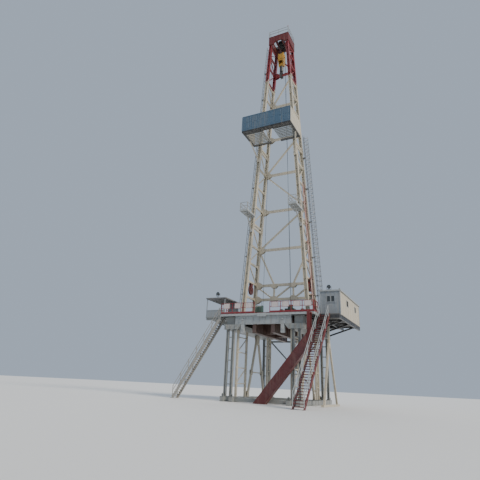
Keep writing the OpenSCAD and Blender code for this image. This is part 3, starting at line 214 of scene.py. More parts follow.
def mirrored(pieces):
    """Pieces and their mirror image across the well's line, from left to right."""
    piece = joined(pieces)
    other = settled(duplicate(piece), Matrix.Diagonal((-1, 1, 1, 1)))
    normals_outward()
    return joined([piece, other])


def finished(name, pieces, finish, body="rig", at=(0, 0, 0), smooth=32):
    """Joins, names, shifts to its place by the well and paints a piece, and lets it ride."""
    piece = joined(pieces)
    piece.name = name
    settled(piece, well + Vector(at))
    bpy.ops.object.shade_smooth_by_angle(angle=math.radians(smooth))
    piece.data.materials.clear()
    piece.data.materials.append(finish)
    if body:
        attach(piece, body)
    return piece


def coordinates(tree, stretch=(1, 1, 1), turn=(0, 0, 0)):
    """The piece's own coordinates, stretched and turned for a pattern."""
    place = tree.nodes.new("ShaderNodeTexCoord")
    mapping = tree.nodes.new("ShaderNodeMapping")
    mapping.inputs["Scale"].default_value = stretch
    mapping.inputs["Rotation"].default_value = turn
    tree.links.new(place.outputs["Object"], mapping.inputs["Vector"])
    return mapping.outputs["Vector"]


def patches(tree, size, cut, strength=1.0, stretch=(1, 1, 1), detail=5):
    """A mask of cloudy patches about `size` metres across, soft between the two levels in `cut`."""
    noise = tree.nodes.new("ShaderNodeTexNoise")
    noise.inputs["Scale"].default_value = 1 / size
    noise.inputs["Detail"].default_value = detail
    tree.links.new(coordinates(tree, stretch), noise.inputs["Vector"])
    level = tree.nodes.new("ShaderNodeMapRange")
    level.inputs["From Min"].default_value = cut[0]
    level.inputs["From Max"].default_value = cut[1]
    level.inputs["To Max"].default_value = strength
    tree.links.new(noise.outputs["Fac"], level.inputs["Value"])
    return level.outputs["Result"]


def laid_over(tree, mask, under, over):
    """A colour laid over another one through a mask."""
    mix = tree.nodes.new("ShaderNodeMix")
    mix.data_type = "RGBA"
    tree.links.new(mask, mix.inputs["Factor"])
    for socket, colour in ((mix.inputs[6], under), (mix.inputs[7], over)):
        if isinstance(colour, tuple):
            socket.default_value = (*colour, 1)
        else:
            tree.links.new(colour, socket)
    return mix.outputs[2]


def between(tree, mask, low, high):
    """A mask turned into a number from low to high."""
    span = tree.nodes.new("ShaderNodeMapRange")
    span.inputs["To Min"].default_value = low
    span.inputs["To Max"].default_value = high
    tree.links.new(mask, span.inputs["Value"])
    return span.outputs["Result"]


def embossed(tree, height, depth, over=None):
    """Bump from a height mask, `depth` metres deep, over an earlier bump where there is one."""
    bump = tree.nodes.new("ShaderNodeBump")
    bump.inputs["Distance"].default_value = depth
    tree.links.new(height, bump.inputs["Height"])
    if over:
        tree.links.new(over, bump.inputs["Normal"])
    return bump.outputs["Normal"]


rust_tone = (0.13, 0.045, 0.018)
dust_tone = (0.30, 0.26, 0.20)


def sprayed(name, paint, gloss=0.42, rust=0.6, dust=0.45, metal=0.0):
    """Sprayed steel paint, faded in patches and streaked by rain, with dust and spots of rust."""
    material = bpy.data.materials.new(name)
    material.use_nodes = True
    tree = material.node_tree
    shader = tree.nodes["Principled BSDF"]
    faded = tuple(c * 0.85 + 0.03 for c in paint)
    deep = tuple(c * 0.72 for c in paint)
    colour = laid_over(tree, patches(tree, 1.6, (0.40, 0.66)), paint, faded)
    colour = laid_over(tree, patches(tree, 0.12, (0.50, 0.72), 0.55), colour, deep)
    streaks = patches(tree, 0.11, (0.50, 0.78), dust, stretch=(1, 1, 0.07))
    colour = laid_over(tree, streaks, colour, dust_tone)
    spots = patches(tree, 0.05, (0.67, 0.72), rust, detail=9)
    runs = patches(tree, 0.06, (0.66, 0.80), rust * 0.6, stretch=(1, 1, 0.10), detail=7)
    colour = laid_over(tree, runs, colour, rust_tone)
    colour = laid_over(tree, spots, colour, rust_tone)
    tree.links.new(colour, shader.inputs["Base Color"])
    tree.links.new(between(tree, streaks, gloss, gloss + 0.35), shader.inputs["Roughness"])
    shader.inputs["Metallic"].default_value = metal
    dents = embossed(tree, patches(tree, 0.35, (0.2, 0.8), detail=2), 0.0016)
    skin = embossed(tree, patches(tree, 0.010, (0.3, 0.7), detail=3), 0.0004, dents)
    pits = embossed(tree, spots, -0.0006, skin)
    tree.links.new(pits, shader.inputs["Normal"])
    return material


def coat(finish, *names):
    """Gives CAD nodes their finish."""
    for name in names:
        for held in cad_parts[name].material_slots:
            held.material = finish


grey_paint = sprayed("grey_paint", (0.26, 0.275, 0.27))
coat(grey_paint, "base_skids")
skid_low, skid_high = box_about_well("base_skids")
skid_top = skid_high.z
inner_x, outer_x = 1.575, 2.1
skid_half, flange_t, rib_half = 0.112, 0.018, 0.006
fittings = []
for x in (inner_x, outer_x):
    left, right = x - skid_half, x + skid_half
    for z in (0.0, skid_top - flange_t):
        fittings.append(plate((left, skid_low.y, z), (right, skid_high.y, z + flange_t)))
    rib = plate((left, -rib_half, flange_t), (right, rib_half, skid_top - flange_t), 0)
    fittings.append(copies(rib, [(0, skid_low.y + 0.3 + 0.55 * i, 0) for i in range(10)]))
finished("skid_flanges", mirrored(fittings), grey_paint)


def pad_eye(width, thick):
    """A lifting eye on (0, 0, 0): a plate with a rounded head and a ring round its hole."""
    eye_z = width * 0.75
    return joined([
        plate((-width / 2, -thick / 2, 0), (width / 2, thick / 2, eye_z)),
        rod((0, -thick / 2, eye_z), (0, thick / 2, eye_z), width / 2, 20),
        ring((0, 0, eye_z), (0, 1, 0), width * 0.27, thick * 0.35, 20),
        rod((0, -thick * 0.6, eye_z), (0, thick * 0.6, eye_z), width * 0.22, 16),
    ])


eye_ys = (skid_low.y + 0.12, skid_high.y - 0.12)
eyes = [(x, y, skid_top) for x in (inner_x, outer_x) for y in eye_ys]
finished("skid_pad_eyes", mirrored(copies(pad_eye(0.12, 0.03), eyes)), grey_paint)

# Posts: columns of H section in pairs under the floor's corners, tied like ladders, with base
# plates bolted to the skids and cap plates under the cap beams.
floor_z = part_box("drill_floor")[1].z
cap_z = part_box("cap_girders")[0].z
coat(grey_paint, "support_posts", "rear_bracing")


def pad(place, half, low, high, edge=0.002):
    """An upright block about (x, y), `half` as wide to each side, from low to high."""
    x, y = place
    a, b = half if isinstance(half, tuple) else (half, half)
    return plate((x - a, y - b, low), (x + a, y + b, high), edge)


def bolt(size, places):
    """Hexagon bolt heads on their washers, standing at each place."""
    bpy.ops.mesh.primitive_cylinder_add(
        vertices=10, radius=size, depth=size * 0.3, location=(0, 0, size * 0.1)
    )
    washer = bpy.context.object
    bpy.ops.mesh.primitive_cylinder_add(
        vertices=6, radius=size * 0.78, depth=size * 0.7, location=(0, 0, size * 0.55)
    )
    return copies(joined([washer, bpy.context.object]), places)


foot_half, head_half, foot_t, gap, web_half = 0.11, 0.10, 0.020, 0.002, 0.005
feet, anchors = [], []
for y in (-2.4, 2.75):
    for x in (1.75, outer_x):
        feet.append(pad((x, y), foot_half, skid_top + gap, skid_top + foot_t))
        feet.append(pad((x, y), head_half, cap_z - foot_t, cap_z - gap))
        for z in (skid_top + foot_t, cap_z - foot_t - head_half):
            feet.append(pad((x, y), (web_half, head_half), z, z + head_half))
        for dx in (-0.085, 0.085):
            for dy in (-0.085, 0.085):
                anchors.append((x + dx, y + dy, skid_top + foot_t))
finished("post_feet", mirrored(feet), grey_paint)
finished("post_bolts", mirrored(bolt(0.013, anchors)), grey_paint)

# Trestles: an inverted V on each side with ladder-like columns before and behind it, welded from
# box bars and painted cream. Gusset plates join the V's legs at their top, their feet and their
# tie.
cream_tone = (0.53, 0.485, 0.385)
cream_paint = sprayed("cream_paint", cream_tone, rust=0.7)
coat(cream_paint, "trestles", "cabin_support")


def cut_plate(corners, thick):
    """A plate cut to an outline of (across, up) corners, standing in the X-Z plane about y = 0."""
    bpy.ops.mesh.primitive_circle_add(
        vertices=len(corners), fill_type="NGON", rotation=(math.pi / 2, 0, 0)
    )
    piece = settled(bpy.context.object)
    for point, (a, b) in zip(piece.data.vertices, corners):
        point.co = (a, -thick / 2, b)
    bpy.ops.object.mode_set(mode="EDIT")
    bpy.ops.mesh.select_all(action="SELECT")
    bpy.ops.mesh.extrude_region_move(TRANSFORM_OT_translate={"value": (0, thick, 0)})
    bpy.ops.object.mode_set(mode="OBJECT")
    normals_outward()
    return edges_broken(piece, 0.002)


def oblong(a, b):
    """The corners of a plain oblong plate, `a` to each side and `b` up and down."""
    return [(-a, -b), (a, -b), (a, b), (-a, b)]


def gussets(outline, middles, half, holes, thick=0.009):
    """A gusset on both faces of a piece, `half` from each middle, and the places of their bolts."""
    places, studs = [], []
    for middle in middles:
        for s in (-1, 1):
            places.append(middle @ Matrix.Translation((0, s * half, 0)))
            studs += [places[-1] @ facing((a, s * thick / 2, b), (0, s, 0)) for a, b in holes]
    return copies(cut_plate(outline, thick), places), studs


v_y, v_half, tie_z = 0.45, 1.2, 1.55
v_lean = v_half / (cap_z - skid_top)
top = [(-0.24, 0), (0.24, 0), (0.24, -0.10), (0.16, -0.52), (-0.16, -0.52), (-0.24, -0.10)]
spots = [(v_y, cap_z - 0.02, top)]
for s in (-1, 1):
    foot = [(-0.16, 0), (0.16, 0), (0.10 - s * 0.03, 0.30), (-0.10 - s * 0.03, 0.30)]
    spots.append((v_y + s * v_half, skid_top, foot))
    spots.append((v_y + s * (v_half - v_lean * (tie_z - skid_top)), tie_z, oblong(0.11, 0.13)))
plates, studs = [], []
for y, z, corners in spots:
    middle = sum(b for a, b in corners) / len(corners)
    holes = [(a, middle + b) for a in (-0.06, 0.06) for b in (-0.07, 0, 0.07)]
    lies = Matrix.Translation((inner_x, y, z)) @ Matrix.Rotation(math.pi / 2, 4, "Z")
    pair, more = gussets(corners, [lies], 0.061, holes, 0.010)
    plates.append(pair)
    studs += more
for y in (-2.17, -1.05, 2.05, 2.52):
    plates.append(pad((inner_x, y), (0.08, 0.085), skid_top, skid_top + 0.014))
    plates += [pad((inner_x, y), (0.03, 0.09), z - 0.06, z + 0.06, 0.004)
               for z in (0.9, 1.7, 2.5, 3.3)]
finished("trestle_gussets", mirrored(plates), cream_paint)
finished("trestle_bolts", mirrored(bolt(0.012, studs)), cream_paint)

# Gusset where the crossed rear bars meet: an oblong steel plate on each face, sprayed grey with the
# bars and held by two rows of four bolts.
crossing = Matrix.Translation((0, 2.75, (cap_z + skid_top) / 2))
holes = [(a, b) for a in (-0.12, -0.04, 0.04, 0.12) for b in (-0.07, 0.07)]
pair, studs = gussets(oblong(0.20, 0.13), [crossing], 0.036, holes, 0.008)
finished("rear_brace_plates", pair, grey_paint)
finished("rear_brace_bolts", bolt(0.012, studs), grey_paint)

# Cap beams: deep box beams along both sides on the posts, haunched at their inner edge, with a long
# box girder on top of each. Welded stiffeners stand on their outer faces, closing plates on their
# ends.
cap_low, cap_high = box_about_well("cap_girders")
deck_z = floor_z - 0.125
girder_z = deck_z - 0.44
cap_out, girder_out = cap_high.x, cap_high.x - 0.05
coat(grey_paint, "cap_girders")


def spread(start, end, count):
    """Evenly spaced numbers from start to end."""
    return [start + i * (end - start) / (count - 1) for i in range(count)]


def stiffener(out, y, low, high):
    """A thin upright plate on the outer face of a side beam."""
    return plate((out - 0.004, y - 0.006, low), (out + 0.030, y + 0.006, high))


ribs = []
for y in spread(cap_low.y + 0.12, cap_high.y - 0.12, 13):
    ribs.append(stiffener(cap_out, y, cap_z + 0.016, girder_z - 0.016))
    if y > cap_low.y + 0.3:
        ribs.append(stiffener(girder_out, y, girder_z + 0.02, deck_z - 0.02))
for out, start, thick, levels in (
    (cap_out, cap_low.y, 0.016, (cap_z, girder_z - 0.016)),
    (girder_out, cap_low.y + 0.2, 0.018, (girder_z + 0.001, deck_z - 0.019)),
):
    ribs += [plate((out - 0.01, start, z), (out + 0.034, cap_high.y, z + thick)) for z in levels]
end_plate = cut_plate([
    (cap_out - 0.81, cap_z), (cap_out - 0.02, cap_z), (cap_out - 0.02, girder_z - 0.02),
    (cap_out - 0.98, girder_z - 0.02), (cap_out - 0.98, girder_z - 0.05),
], 0.012)
ribs.append(settled(end_plate, (0, cap_low.y - 0.006, 0)))
for x in (cap_out - 0.70, cap_out - 0.42, cap_out - 0.14):
    ribs.append(pad((x, cap_low.y - 0.03), (0.006, 0.02), cap_z + 0.02, girder_z - 0.03))
finished("cap_stiffeners", mirrored(ribs), grey_paint)

# Front and back girder: welded beams across the rig under the floor, sprayed pale grey, with bolted
# flange joints, thin stiffeners and lifting lugs. Short posts with rounded shoes hang at the front
# one's ends.
pale_paint = sprayed("pale_grey_paint", (0.35, 0.38, 0.395), gloss=0.38, rust=0.5)
coat(pale_paint, "cross_girders", "floor_edge", "cabin_roof")
front = -2.5
welds = []
for x in (-1.4, -1.0, -0.55, -0.18, 0.18, 0.55, 1.0, 1.4):
    welds.append(pad((x, front + 0.014), (0.005, 0.016), girder_z + 0.03, deck_z - 0.03))
for z in (girder_z - 0.004, deck_z - 0.020):
    welds.append(pad((0, front + 0.004), (1.62, 0.016), z, z + 0.022))
shoe_z, lug_z = girder_z - 0.26, girder_z + 0.24
for x in (-1.17, 1.17):
    welds.append(rod((x, front - 0.012, shoe_z), (x, front + 0.2, shoe_z), 0.10, 24, 0.004))
    welds.append(rod((x, front - 0.05, shoe_z), (x, front + 0.25, shoe_z), 0.035, 16, 0.004))
    lies = Matrix.Translation((x, front - 0.002, lug_z)) @ Matrix.Rotation(math.pi / 2, 4, "X")
    welds.append(settled(pad_eye(0.11, 0.026), lies))
finished("girder_stiffeners", welds, pale_paint)
heads = [
    facing((s * x, front - 0.012, girder_z + 0.06 + 0.08 * i), (0, -1, 0))
    for s in (-1, 1) for x in (1.45, 1.50, 1.55) for i in range(5)
]
finished("girder_bolts", bolt(0.012, heads), pale_paint)

# Rotary beams: two deep plate girders along the rig that carry the rotary table, with cross beams,
# in brown primer. Flanges and stiffeners stand proud of their webs.
primer_paint = sprayed("brown_primer", (0.120, 0.066, 0.052), rust=0.5, dust=0.4)
coat(primer_paint, "rotary_beams")
beam_low, beam_high = box_about_well("rotary_beams")
beam_x, flange_half, web_half = 0.55, 0.13, 0.125
middle, half = (beam_low.y + beam_high.y) / 2, (beam_high.y - beam_low.y) / 2
webs = [pad((beam_x, middle), (flange_half, half), z, z + 0.022)
        for z in (beam_low.z - 0.002, deck_z - 0.024)]
webs += [pad((beam_x, y), (web_half, 0.006), beam_low.z + 0.02, deck_z - 0.24)
         for y in spread(beam_low.y + 0.15, beam_high.y - 0.15, 11)]
finished("rotary_beam_flanges", mirrored(webs), primer_paint)

# Drill floor: chequered steel plate on joists, worn bright where the crew walks, inside a welded
# edge beam. A dark red kick strip and a bolted sill with a roller at the pipe gap run along its
# front.
floor_left, floor_right, floor_front, floor_back = -2.55, 2.95, -2.6, 3.35


def over_paint(material, mask, colour):
    """Lays a colour over a finished paint through a mask."""
    tree = material.node_tree
    skin = tree.nodes["Principled BSDF"].inputs["Base Color"]
    tree.links.new(laid_over(tree, mask, skin.links[0].from_socket, colour), skin)


def raised(material, height, depth):
    """Adds a pattern to a finished paint's bump."""
    tree = material.node_tree
    normal = tree.nodes["Principled BSDF"].inputs["Normal"]
    tree.links.new(embossed(tree, height, depth, normal.links[0].from_socket), normal)


def bricks(tree, scale, gap, soft, width, height, turn=0.0, offset=0.5):
    """A mask of bricks: 1 in the gaps between them and 0 on their faces."""
    brick = tree.nodes.new("ShaderNodeTexBrick")
    brick.offset = offset
    brick.inputs["Scale"].default_value = scale
    brick.inputs["Mortar Size"].default_value = gap
    brick.inputs["Mortar Smooth"].default_value = soft
    brick.inputs["Brick Width"].default_value = width
    brick.inputs["Row Height"].default_value = height
    tree.links.new(coordinates(tree, turn=(0, 0, turn)), brick.inputs["Vector"])
    return brick.outputs["Fac"]


def chequered(name, tone, worn):
    """Chequered plate: short raised bars, crosswise in turn, dark in the hollows, worn on top."""
    material = sprayed(name, tone, gloss=0.5, rust=0.5, dust=0.6, metal=0.35)
    tree = material.node_tree
    both = tree.nodes.new("ShaderNodeMath")
    both.operation = "MAXIMUM"
    for turn, socket in zip((math.pi / 4, -math.pi / 4), both.inputs):
        tree.links.new(bricks(tree, 24, 0.16, 0.6, 1.0, 0.42, turn), socket)
    raised(material, both.outputs[0], -0.003)
    over_paint(material, patches(tree, 0.9, (0.48, 0.70), 0.8), worn)
    return material


deck_paint = chequered("deck_plate", (0.075, 0.078, 0.082), (0.20, 0.19, 0.175))
coat(deck_paint, "drill_floor")
red_tone = (0.235, 0.020, 0.028)
red_paint = sprayed("red_paint", red_tone, rust=0.4, dust=0.3)
maroon_paint = sprayed("dark_red_paint", (0.125, 0.016, 0.016), rust=0.4, dust=0.28)
kick_low, kick_high = floor_z - 0.004, floor_z + 0.034
kick = [
    plate((floor_left - 0.002, floor_front - 0.004, kick_low),
          (floor_right + 0.002, floor_front + 0.02, kick_high)),
    plate((floor_left - 0.004, floor_front, kick_low), (floor_left + 0.02, floor_back, kick_high)),
    plate((floor_left, floor_back - 0.02, kick_low), (floor_right, floor_back + 0.004, kick_high)),
]
finished("floor_kick_strip", kick, maroon_paint)
lip, lip_low, lip_high = 0.012, deck_z - 0.002, deck_z + 0.014
left, right, back = floor_left - lip, floor_right + lip, floor_back + lip
lips = [
    plate((left, floor_front - lip, lip_low), (right, floor_front + 0.03, lip_high)),
    plate((left, floor_front, lip_low), (floor_left + 0.03, back, lip_high)),
    plate((floor_left, floor_back - 0.03, lip_low), (right, back, lip_high)),
]
for x in spread(floor_left + 0.15, floor_right - 0.15, 19):
    for y in (floor_front, floor_back):
        if abs(x) > 0.3 or y > 0:
            lips.append(pad((x, y), (0.004, 0.010), lip_high, floor_z - 0.006, 0))
finished("floor_edge_lips", lips, pale_paint)
sill_bolts = [
    facing((x, floor_front - 0.030, z), (0, -1, 0))
    for x in (-0.22, -0.11, 0, 0.11, 0.22) for z in (deck_z - 0.03, deck_z + 0.06)
]
finished("sill_bolts", bolt(0.011, sill_bolts), pale_paint)

# Rotary table: a steel housing with a bolted cover, and in its middle the cast turntable with its
# split bushings and square drive. It is machined steel, dark with grease round the hole.
dark_steel = sprayed("dark_steel", (0.055, 0.056, 0.058), gloss=0.36, rust=0.4, dust=0.4,
                     metal=0.55)
coat(dark_steel, "rotary_table")
rotary_top = well_high.z
hole_r, table_r, key_half = 0.175, 0.378, 0.022
table = []
for inner, outer, high in (
    (hole_r, hole_r + 0.035, 0.014), (hole_r + 0.07, table_r - 0.05, 0.010),
):
    bpy.ops.mesh.primitive_cylinder_add(
        vertices=48, radius=outer, depth=high, end_fill_type="NOTHING",
        location=(0, 0, rotary_top + high / 2)
    )
    bpy.ops.object.modifier_add(type="SOLIDIFY")
    solidify = bpy.context.object.modifiers["Solidify"]
    solidify.thickness = outer - inner
    solidify.offset = -1
    bpy.ops.object.modifier_apply(modifier="Solidify")
    table.append(edges_broken(settled(bpy.context.object), 0.003))
key = plate((hole_r + 0.03, -key_half, rotary_top), (hole_r + 0.075, key_half, rotary_top + 0.020))
table.append(copies(key, [
    Matrix.Rotation(math.pi / 4 + i * math.pi / 2, 4, "Z") for i in range(4)
]))
finished("turntable_rings", table, dark_steel)
bolt_r = table_r - 0.022
angles = [2 * math.pi * i / 24 for i in range(24)]
cover_bolts = [(bolt_r * math.cos(a), bolt_r * math.sin(a), rotary_top) for a in angles]
cover_bolts += [(x, y, floor_z + 0.105) for x in (-0.41, 0.41) for y in (-0.41, -0.2, 0, 0.2, 0.41)]
finished("rotary_bolts", bolt(0.013, cover_bolts), dark_steel)
shaft_h = 0.075
drive = [
    rod((0, start, shaft_h), (0, end, shaft_h), radius, 20, 0.004)
    for start, end, radius in ((0.46, 0.90, 0.05), (0.50, 0.53, 0.072), (0.86, 0.90, 0.072))
]
drive.append(plate((-0.09, 0.55, 0), (0.09, 0.84, 0.06), 0.006))
finished("rotary_drive_shaft", drive, dark_steel, at=(0, 0, floor_z))

# Guard rails: square tube posts in sockets welded to the floor, with two rails and a kick plate,
# painted red. Bare pale boards hang on the front ones, each in a thin red frame with clips.
coat(red_paint, "front_rails", "rear_rails")
rail_h, rail_w = 0.6, 0.03
front_y = floor_front + rail_w
left_ends, right_ends = (floor_left + rail_w, -0.45), (0.45, floor_right - rail_w)
rear_ends = (floor_left + rail_w / 2, floor_right - rail_w)
posts = [
    (x, y, floor_z)
    for (start, end), count, y in (
        (left_ends, 4, front_y), (right_ends, 5, front_y), (rear_ends, 9, floor_back - rail_w)
    )
    for x in spread(start + rail_w / 2, end - rail_w / 2, count)
]
socket = joined([
    pad((0, 0), 0.040, 0, 0.010),
    pad((0, 0), 0.022, 0.010, 0.075, 0.003),
    pad((0, 0), 0.0175, rail_h - 0.006, rail_h + 0.006, 0.004),
])
finished("rail_sockets", copies(socket, posts), red_paint)


def framed(low, high, bar_w, proud, normal, mullions=0):
    """A flat frame of four bars round a panel facing along X or Y, with upright bars between."""
    low, high = Vector(low), Vector(high)
    run = 1 if normal == 0 else 0
    grow = Vector((proud, 0, 0)) if normal == 0 else Vector((0, proud, 0))
    rows = [(low[run], high[run], z, z + bar_w) for z in (low.z, high.z - bar_w)]
    uprights = spread(low[run], high[run] - bar_w, mullions + 2)
    rows += [(u, u + bar_w, low.z + bar_w, high.z - bar_w) for u in uprights]
    pieces = []
    for start, stop, z0, z1 in rows:
        a, b = Vector(low), Vector(high)
        a[run], b[run], a.z, b.z = start, stop, z0, z1
        pieces.append(plate(a - grow, b + grow))
    return joined(pieces)


board_paint = sprayed("board_paint", (0.60, 0.53, 0.53), gloss=0.34, rust=0.25, dust=0.3)
coat(board_paint, "rail_boards")
board_half, board_h, clip_half = 0.2, 0.31, 0.012
board_y = front_y - rail_w / 2 - 0.0093
board_top = floor_z + rail_h
frames = []
for (start, end), count in ((left_ends, 3), (right_ends, 4)):
    for i in range(count):
        x = start + (end - start) * (i + 0.5) / count
        frames.append(framed((x - board_half, board_y, board_top - board_h),
                             (x + board_half, board_y, board_top), 0.014, 0.005, 1))
        frames += [plate((x + dx - clip_half, board_y - 0.007, board_top - 0.03),
                         (x + dx + clip_half, front_y + 0.018, board_top + 0.006))
                   for dx in (-0.11, 0.11)]
finished("board_frames", frames, red_paint)

# Drawworks: the hoisting winch behind the mast. Green painted housings stand on a red skid round
# the rope drum; the drum has flanges with brake bands, a grooved lay of rope, and motors at both
# ends.
green_paint = sprayed("green_paint", (0.030, 0.075, 0.055), gloss=0.35, rust=0.35, dust=0.5)
rope_steel = sprayed("wire_rope", (0.050, 0.048, 0.045), gloss=0.5, rust=0.3, dust=0.25, metal=0.6)
coat(green_paint, "drawworks", "driller_console")
winch_place = (0, 2.45, floor_z)
drum_z, drum_r, motor_z, case_x = 0.62, 0.21, 0.48, 0.72


def disc(side, near, far, middle, radius, sides=24, edge=0.004):
    """A disc or a round bar across the rig, on its left (-1) or right (1) side, about (y, z)."""
    return rod((side * near, *middle), (side * far, *middle), radius, sides, edge)


def bolt_circle(centre, side, radius, count):
    """Places of bolts round a centre, on a face that looks to the left (-1) or right (1)."""
    x, y, z = centre
    angles = [2 * math.pi * i / count for i in range(count)]
    return [facing((x, y + radius * math.cos(a), z + radius * math.sin(a)), (side, 0, 0))
            for a in angles]


rope_pitch = 0.0205
lay = [(rope_pitch * i - 0.49, 0, drum_z) for i in range(49)]
turn_of_rope = ring((0, 0, 0), (1, 0, 0), drum_r + 0.0095, 0.010, 28)
finished("drum_rope", copies(turn_of_rope, lay), rope_steel, at=winch_place)
works, cover_bolts = [], []
for s in (-1, 1):
    works += [disc(s, x - 0.008, x + 0.008, (0, drum_z), 0.392, 48, 0.003) for x in (0.545, 0.575)]
    works.append(disc(s, 1.455, 1.485, (0, motor_z), 0.20, 28, 0.006))
    works.append(pad((s * 1.13, 0), (0.14, 0.12), 0.76, 0.88, 0.012))
    works += [pad((s * case_x, dy), (0.065, 0.006), 0.16, 0.64, 0.003) for dy in (-0.504, 0.504)]
    works.append(pad((s * case_x, 0), (0.075, 0.21), 1.049, 1.060, 0.003))
    cover_bolts += [facing((s * case_x + dx, dy * 0.510, z), (0, dy, 0))
                    for dy in (-1, 1) for dx in (-0.05, 0.05) for z in (0.19, 0.40, 0.61)]
    cover_bolts += bolt_circle((s * 1.485, 0, motor_z), s, 0.16, 10)
cover_bolts += [(x, y, 0.09) for x in spread(-1.38, 1.383, 10) for y in (-0.47, 0.47)]
skid = [pad((0, y), (1.46, 0.0125), 0.001, 0.11) for y in (-0.5175, 0.5175)]
finished("drawworks_covers", works, green_paint, at=winch_place)
finished("drawworks_bolts", bolt(0.011, cover_bolts), dark_steel, at=winch_place)
finished("drawworks_skid_rails", skid, red_paint, at=winch_place)

# Driller's console: a folded steel cabinet with a sloping face that holds plain gauges, switches
# and two long levers with ball ends, and beside it a hydraulic winch on its stand.
console_place = (0, -1.5, floor_z)
face_start, face_end = Vector((0, 0, 0.5)), Vector((0, 0.12, 0.64))
slope = (face_end - face_start).normalized()
outward = Vector((0, -slope.z, slope.y))
dials, glasses, levers = [], [], []
gauge_pitch, switch_pitch = 0.087, 0.056
for i in range(4):
    centre = face_start + slope * 0.12 + Vector((gauge_pitch * i - 0.83, 0, 0))
    dials.append(rod(centre, centre + outward * 0.014, 0.034, 24, 0.002))
    glasses.append(rod(centre + outward * 0.010, centre + outward * 0.0155, 0.028, 24))
for i in range(6):
    centre = face_start + slope * 0.045 + Vector((switch_pitch * i - 0.84, 0, 0))
    dials.append(rod(centre, centre + outward * 0.020, 0.009, 12, 0.001))
for x in (-0.84, -0.56):
    foot, tip = Vector((x, 0.20, 0.62)), Vector((x, 0.10, 0.84))
    levers.append(rod(foot, tip, 0.008, 10))
    bpy.ops.mesh.primitive_uv_sphere_add(segments=16, ring_count=10, radius=0.02, location=tip)
    levers.append(bpy.context.object)
dials += [plate((x, -0.006, 0.06), (x + 0.155, 0.002, 0.44), 0.003) for x in (-0.88, -0.675)]
dials += [rod((x, -0.012, 0.25), (x, -0.002, 0.25), 0.010, 12) for x in (-0.735, -0.665)]
finished("console_dials_and_doors", dials, green_paint, at=console_place)
finished("console_levers", levers, dark_steel, at=console_place)
winch = [rod((1.145, 0.30, z), (1.145, 0.30, z + 0.012), 0.155, 32, 0.002)
         for z in spread(0.42, 0.62, 5)]
winch += [plate((0.88, 0.10, z), (1.41, 0.12, z + 0.02)) for z in (0.05, 0.20, 0.37)]
finished("floor_winch_ribs", winch, dark_steel, at=console_place)
gauge_face = sprayed("gauge_face", (0.55, 0.55, 0.52), gloss=0.12, rust=0.0, dust=0.15)
finished("console_gauges", glasses, gauge_face, at=console_place)

# Open shelter on the left: a roof of ribbed grey sheet on four square posts, over low steel panels,
# on a platform braced from the cap beam. Angle frames are welded round each panel.
cabin_paint = sprayed("cabin_paint", (0.25, 0.28, 0.31), gloss=0.45, rust=0.45, dust=0.5)
black_paint = sprayed("black_lamp", (0.018, 0.019, 0.021), gloss=0.5, rust=0.2, dust=0.4)
coat(cabin_paint, "shelter_walls", "cabin_door")
# The cabin's front, rear and left walls take the grey-blue paint: painted shade, the shaded look of
# walls whose lit side is coated cream.
coat(cabin_paint, "cabin_front_wall", "cabin_rear_wall", "cabin_left_wall")
roof_paint = sprayed("shelter_roof_paint", (0.15, 0.15, 0.155), rust=0.5, dust=0.5)
coat(roof_paint, "shelter_roof")
coat(dark_steel, "cabin_bracket")
coat(deck_paint, "cabin_floor")
coat(grey_paint, "shelter_platform")


def gutters(low, high, drop, rise):
    """Folded edges along both long sides of a roof."""
    y0, y1, z0, z1 = low.y - 0.006, high.y + 0.006, low.z - drop, high.z + rise
    return [plate((x - 0.006, y0, z0), (x + 0.006, y1, z1)) for x in (low.x, high.x)]


roof_low, roof_high = box_about_well("shelter_roof")
overhang, post_w, low_top = 0.04, 0.04, floor_z + 0.4
left, right = roof_low.x + overhang, roof_high.x - overhang
front, back = roof_low.y + overhang, roof_high.y - overhang
rib_low, rib_high = roof_high.z - 0.002, roof_high.z + 0.012
rib = plate((roof_low.x, -0.022, rib_low), (roof_high.x, 0.022, rib_high), 0.006)
ribs = [copies(rib, [(0, roof_low.y + 0.06 + 0.11 * i, 0) for i in range(17)])]
joist = plate((left, -0.02, roof_low.z - 0.035), (right, 0.02, roof_low.z + 0.002))
ribs.append(copies(joist, [(0, y, 0) for y in spread(front + 0.02, back - 0.02, 6)]))
finished("shelter_roof_ribs", ribs + gutters(roof_low, roof_high, 0.012, 0.006), roof_paint)
inner_left, inner_right, split = left + post_w, right - post_w, left + 0.56
panels = [
    framed(low, high, 0.03, 0.006, normal, mullions) for low, high, normal, mullions in (
        ((inner_left, front, floor_z), (inner_right, front + 0.02, low_top), 1, 2),
        ((left, front + post_w, floor_z), (left + 0.02, back - post_w, low_top), 0, 3),
        ((inner_left, back - 0.02, floor_z), (split, back, low_top), 1, 1),
        ((split, back - 0.02, floor_z), (inner_right, back, roof_low.z), 1, 2),
    )
]
panels.append(plate((left, front - 0.012, low_top), (right, front + 0.032, low_top + 0.03), 0.004))
panels.append(plate((left - 0.012, front, low_top), (left + 0.032, back, low_top + 0.03), 0.004))
panels += [pad((x, y), 0.045, floor_z, floor_z + 0.012)
           for x in (left + 0.02, right - 0.02) for y in (front + 0.02, back - 0.02)]
finished("shelter_panel_frames", panels, cabin_paint)
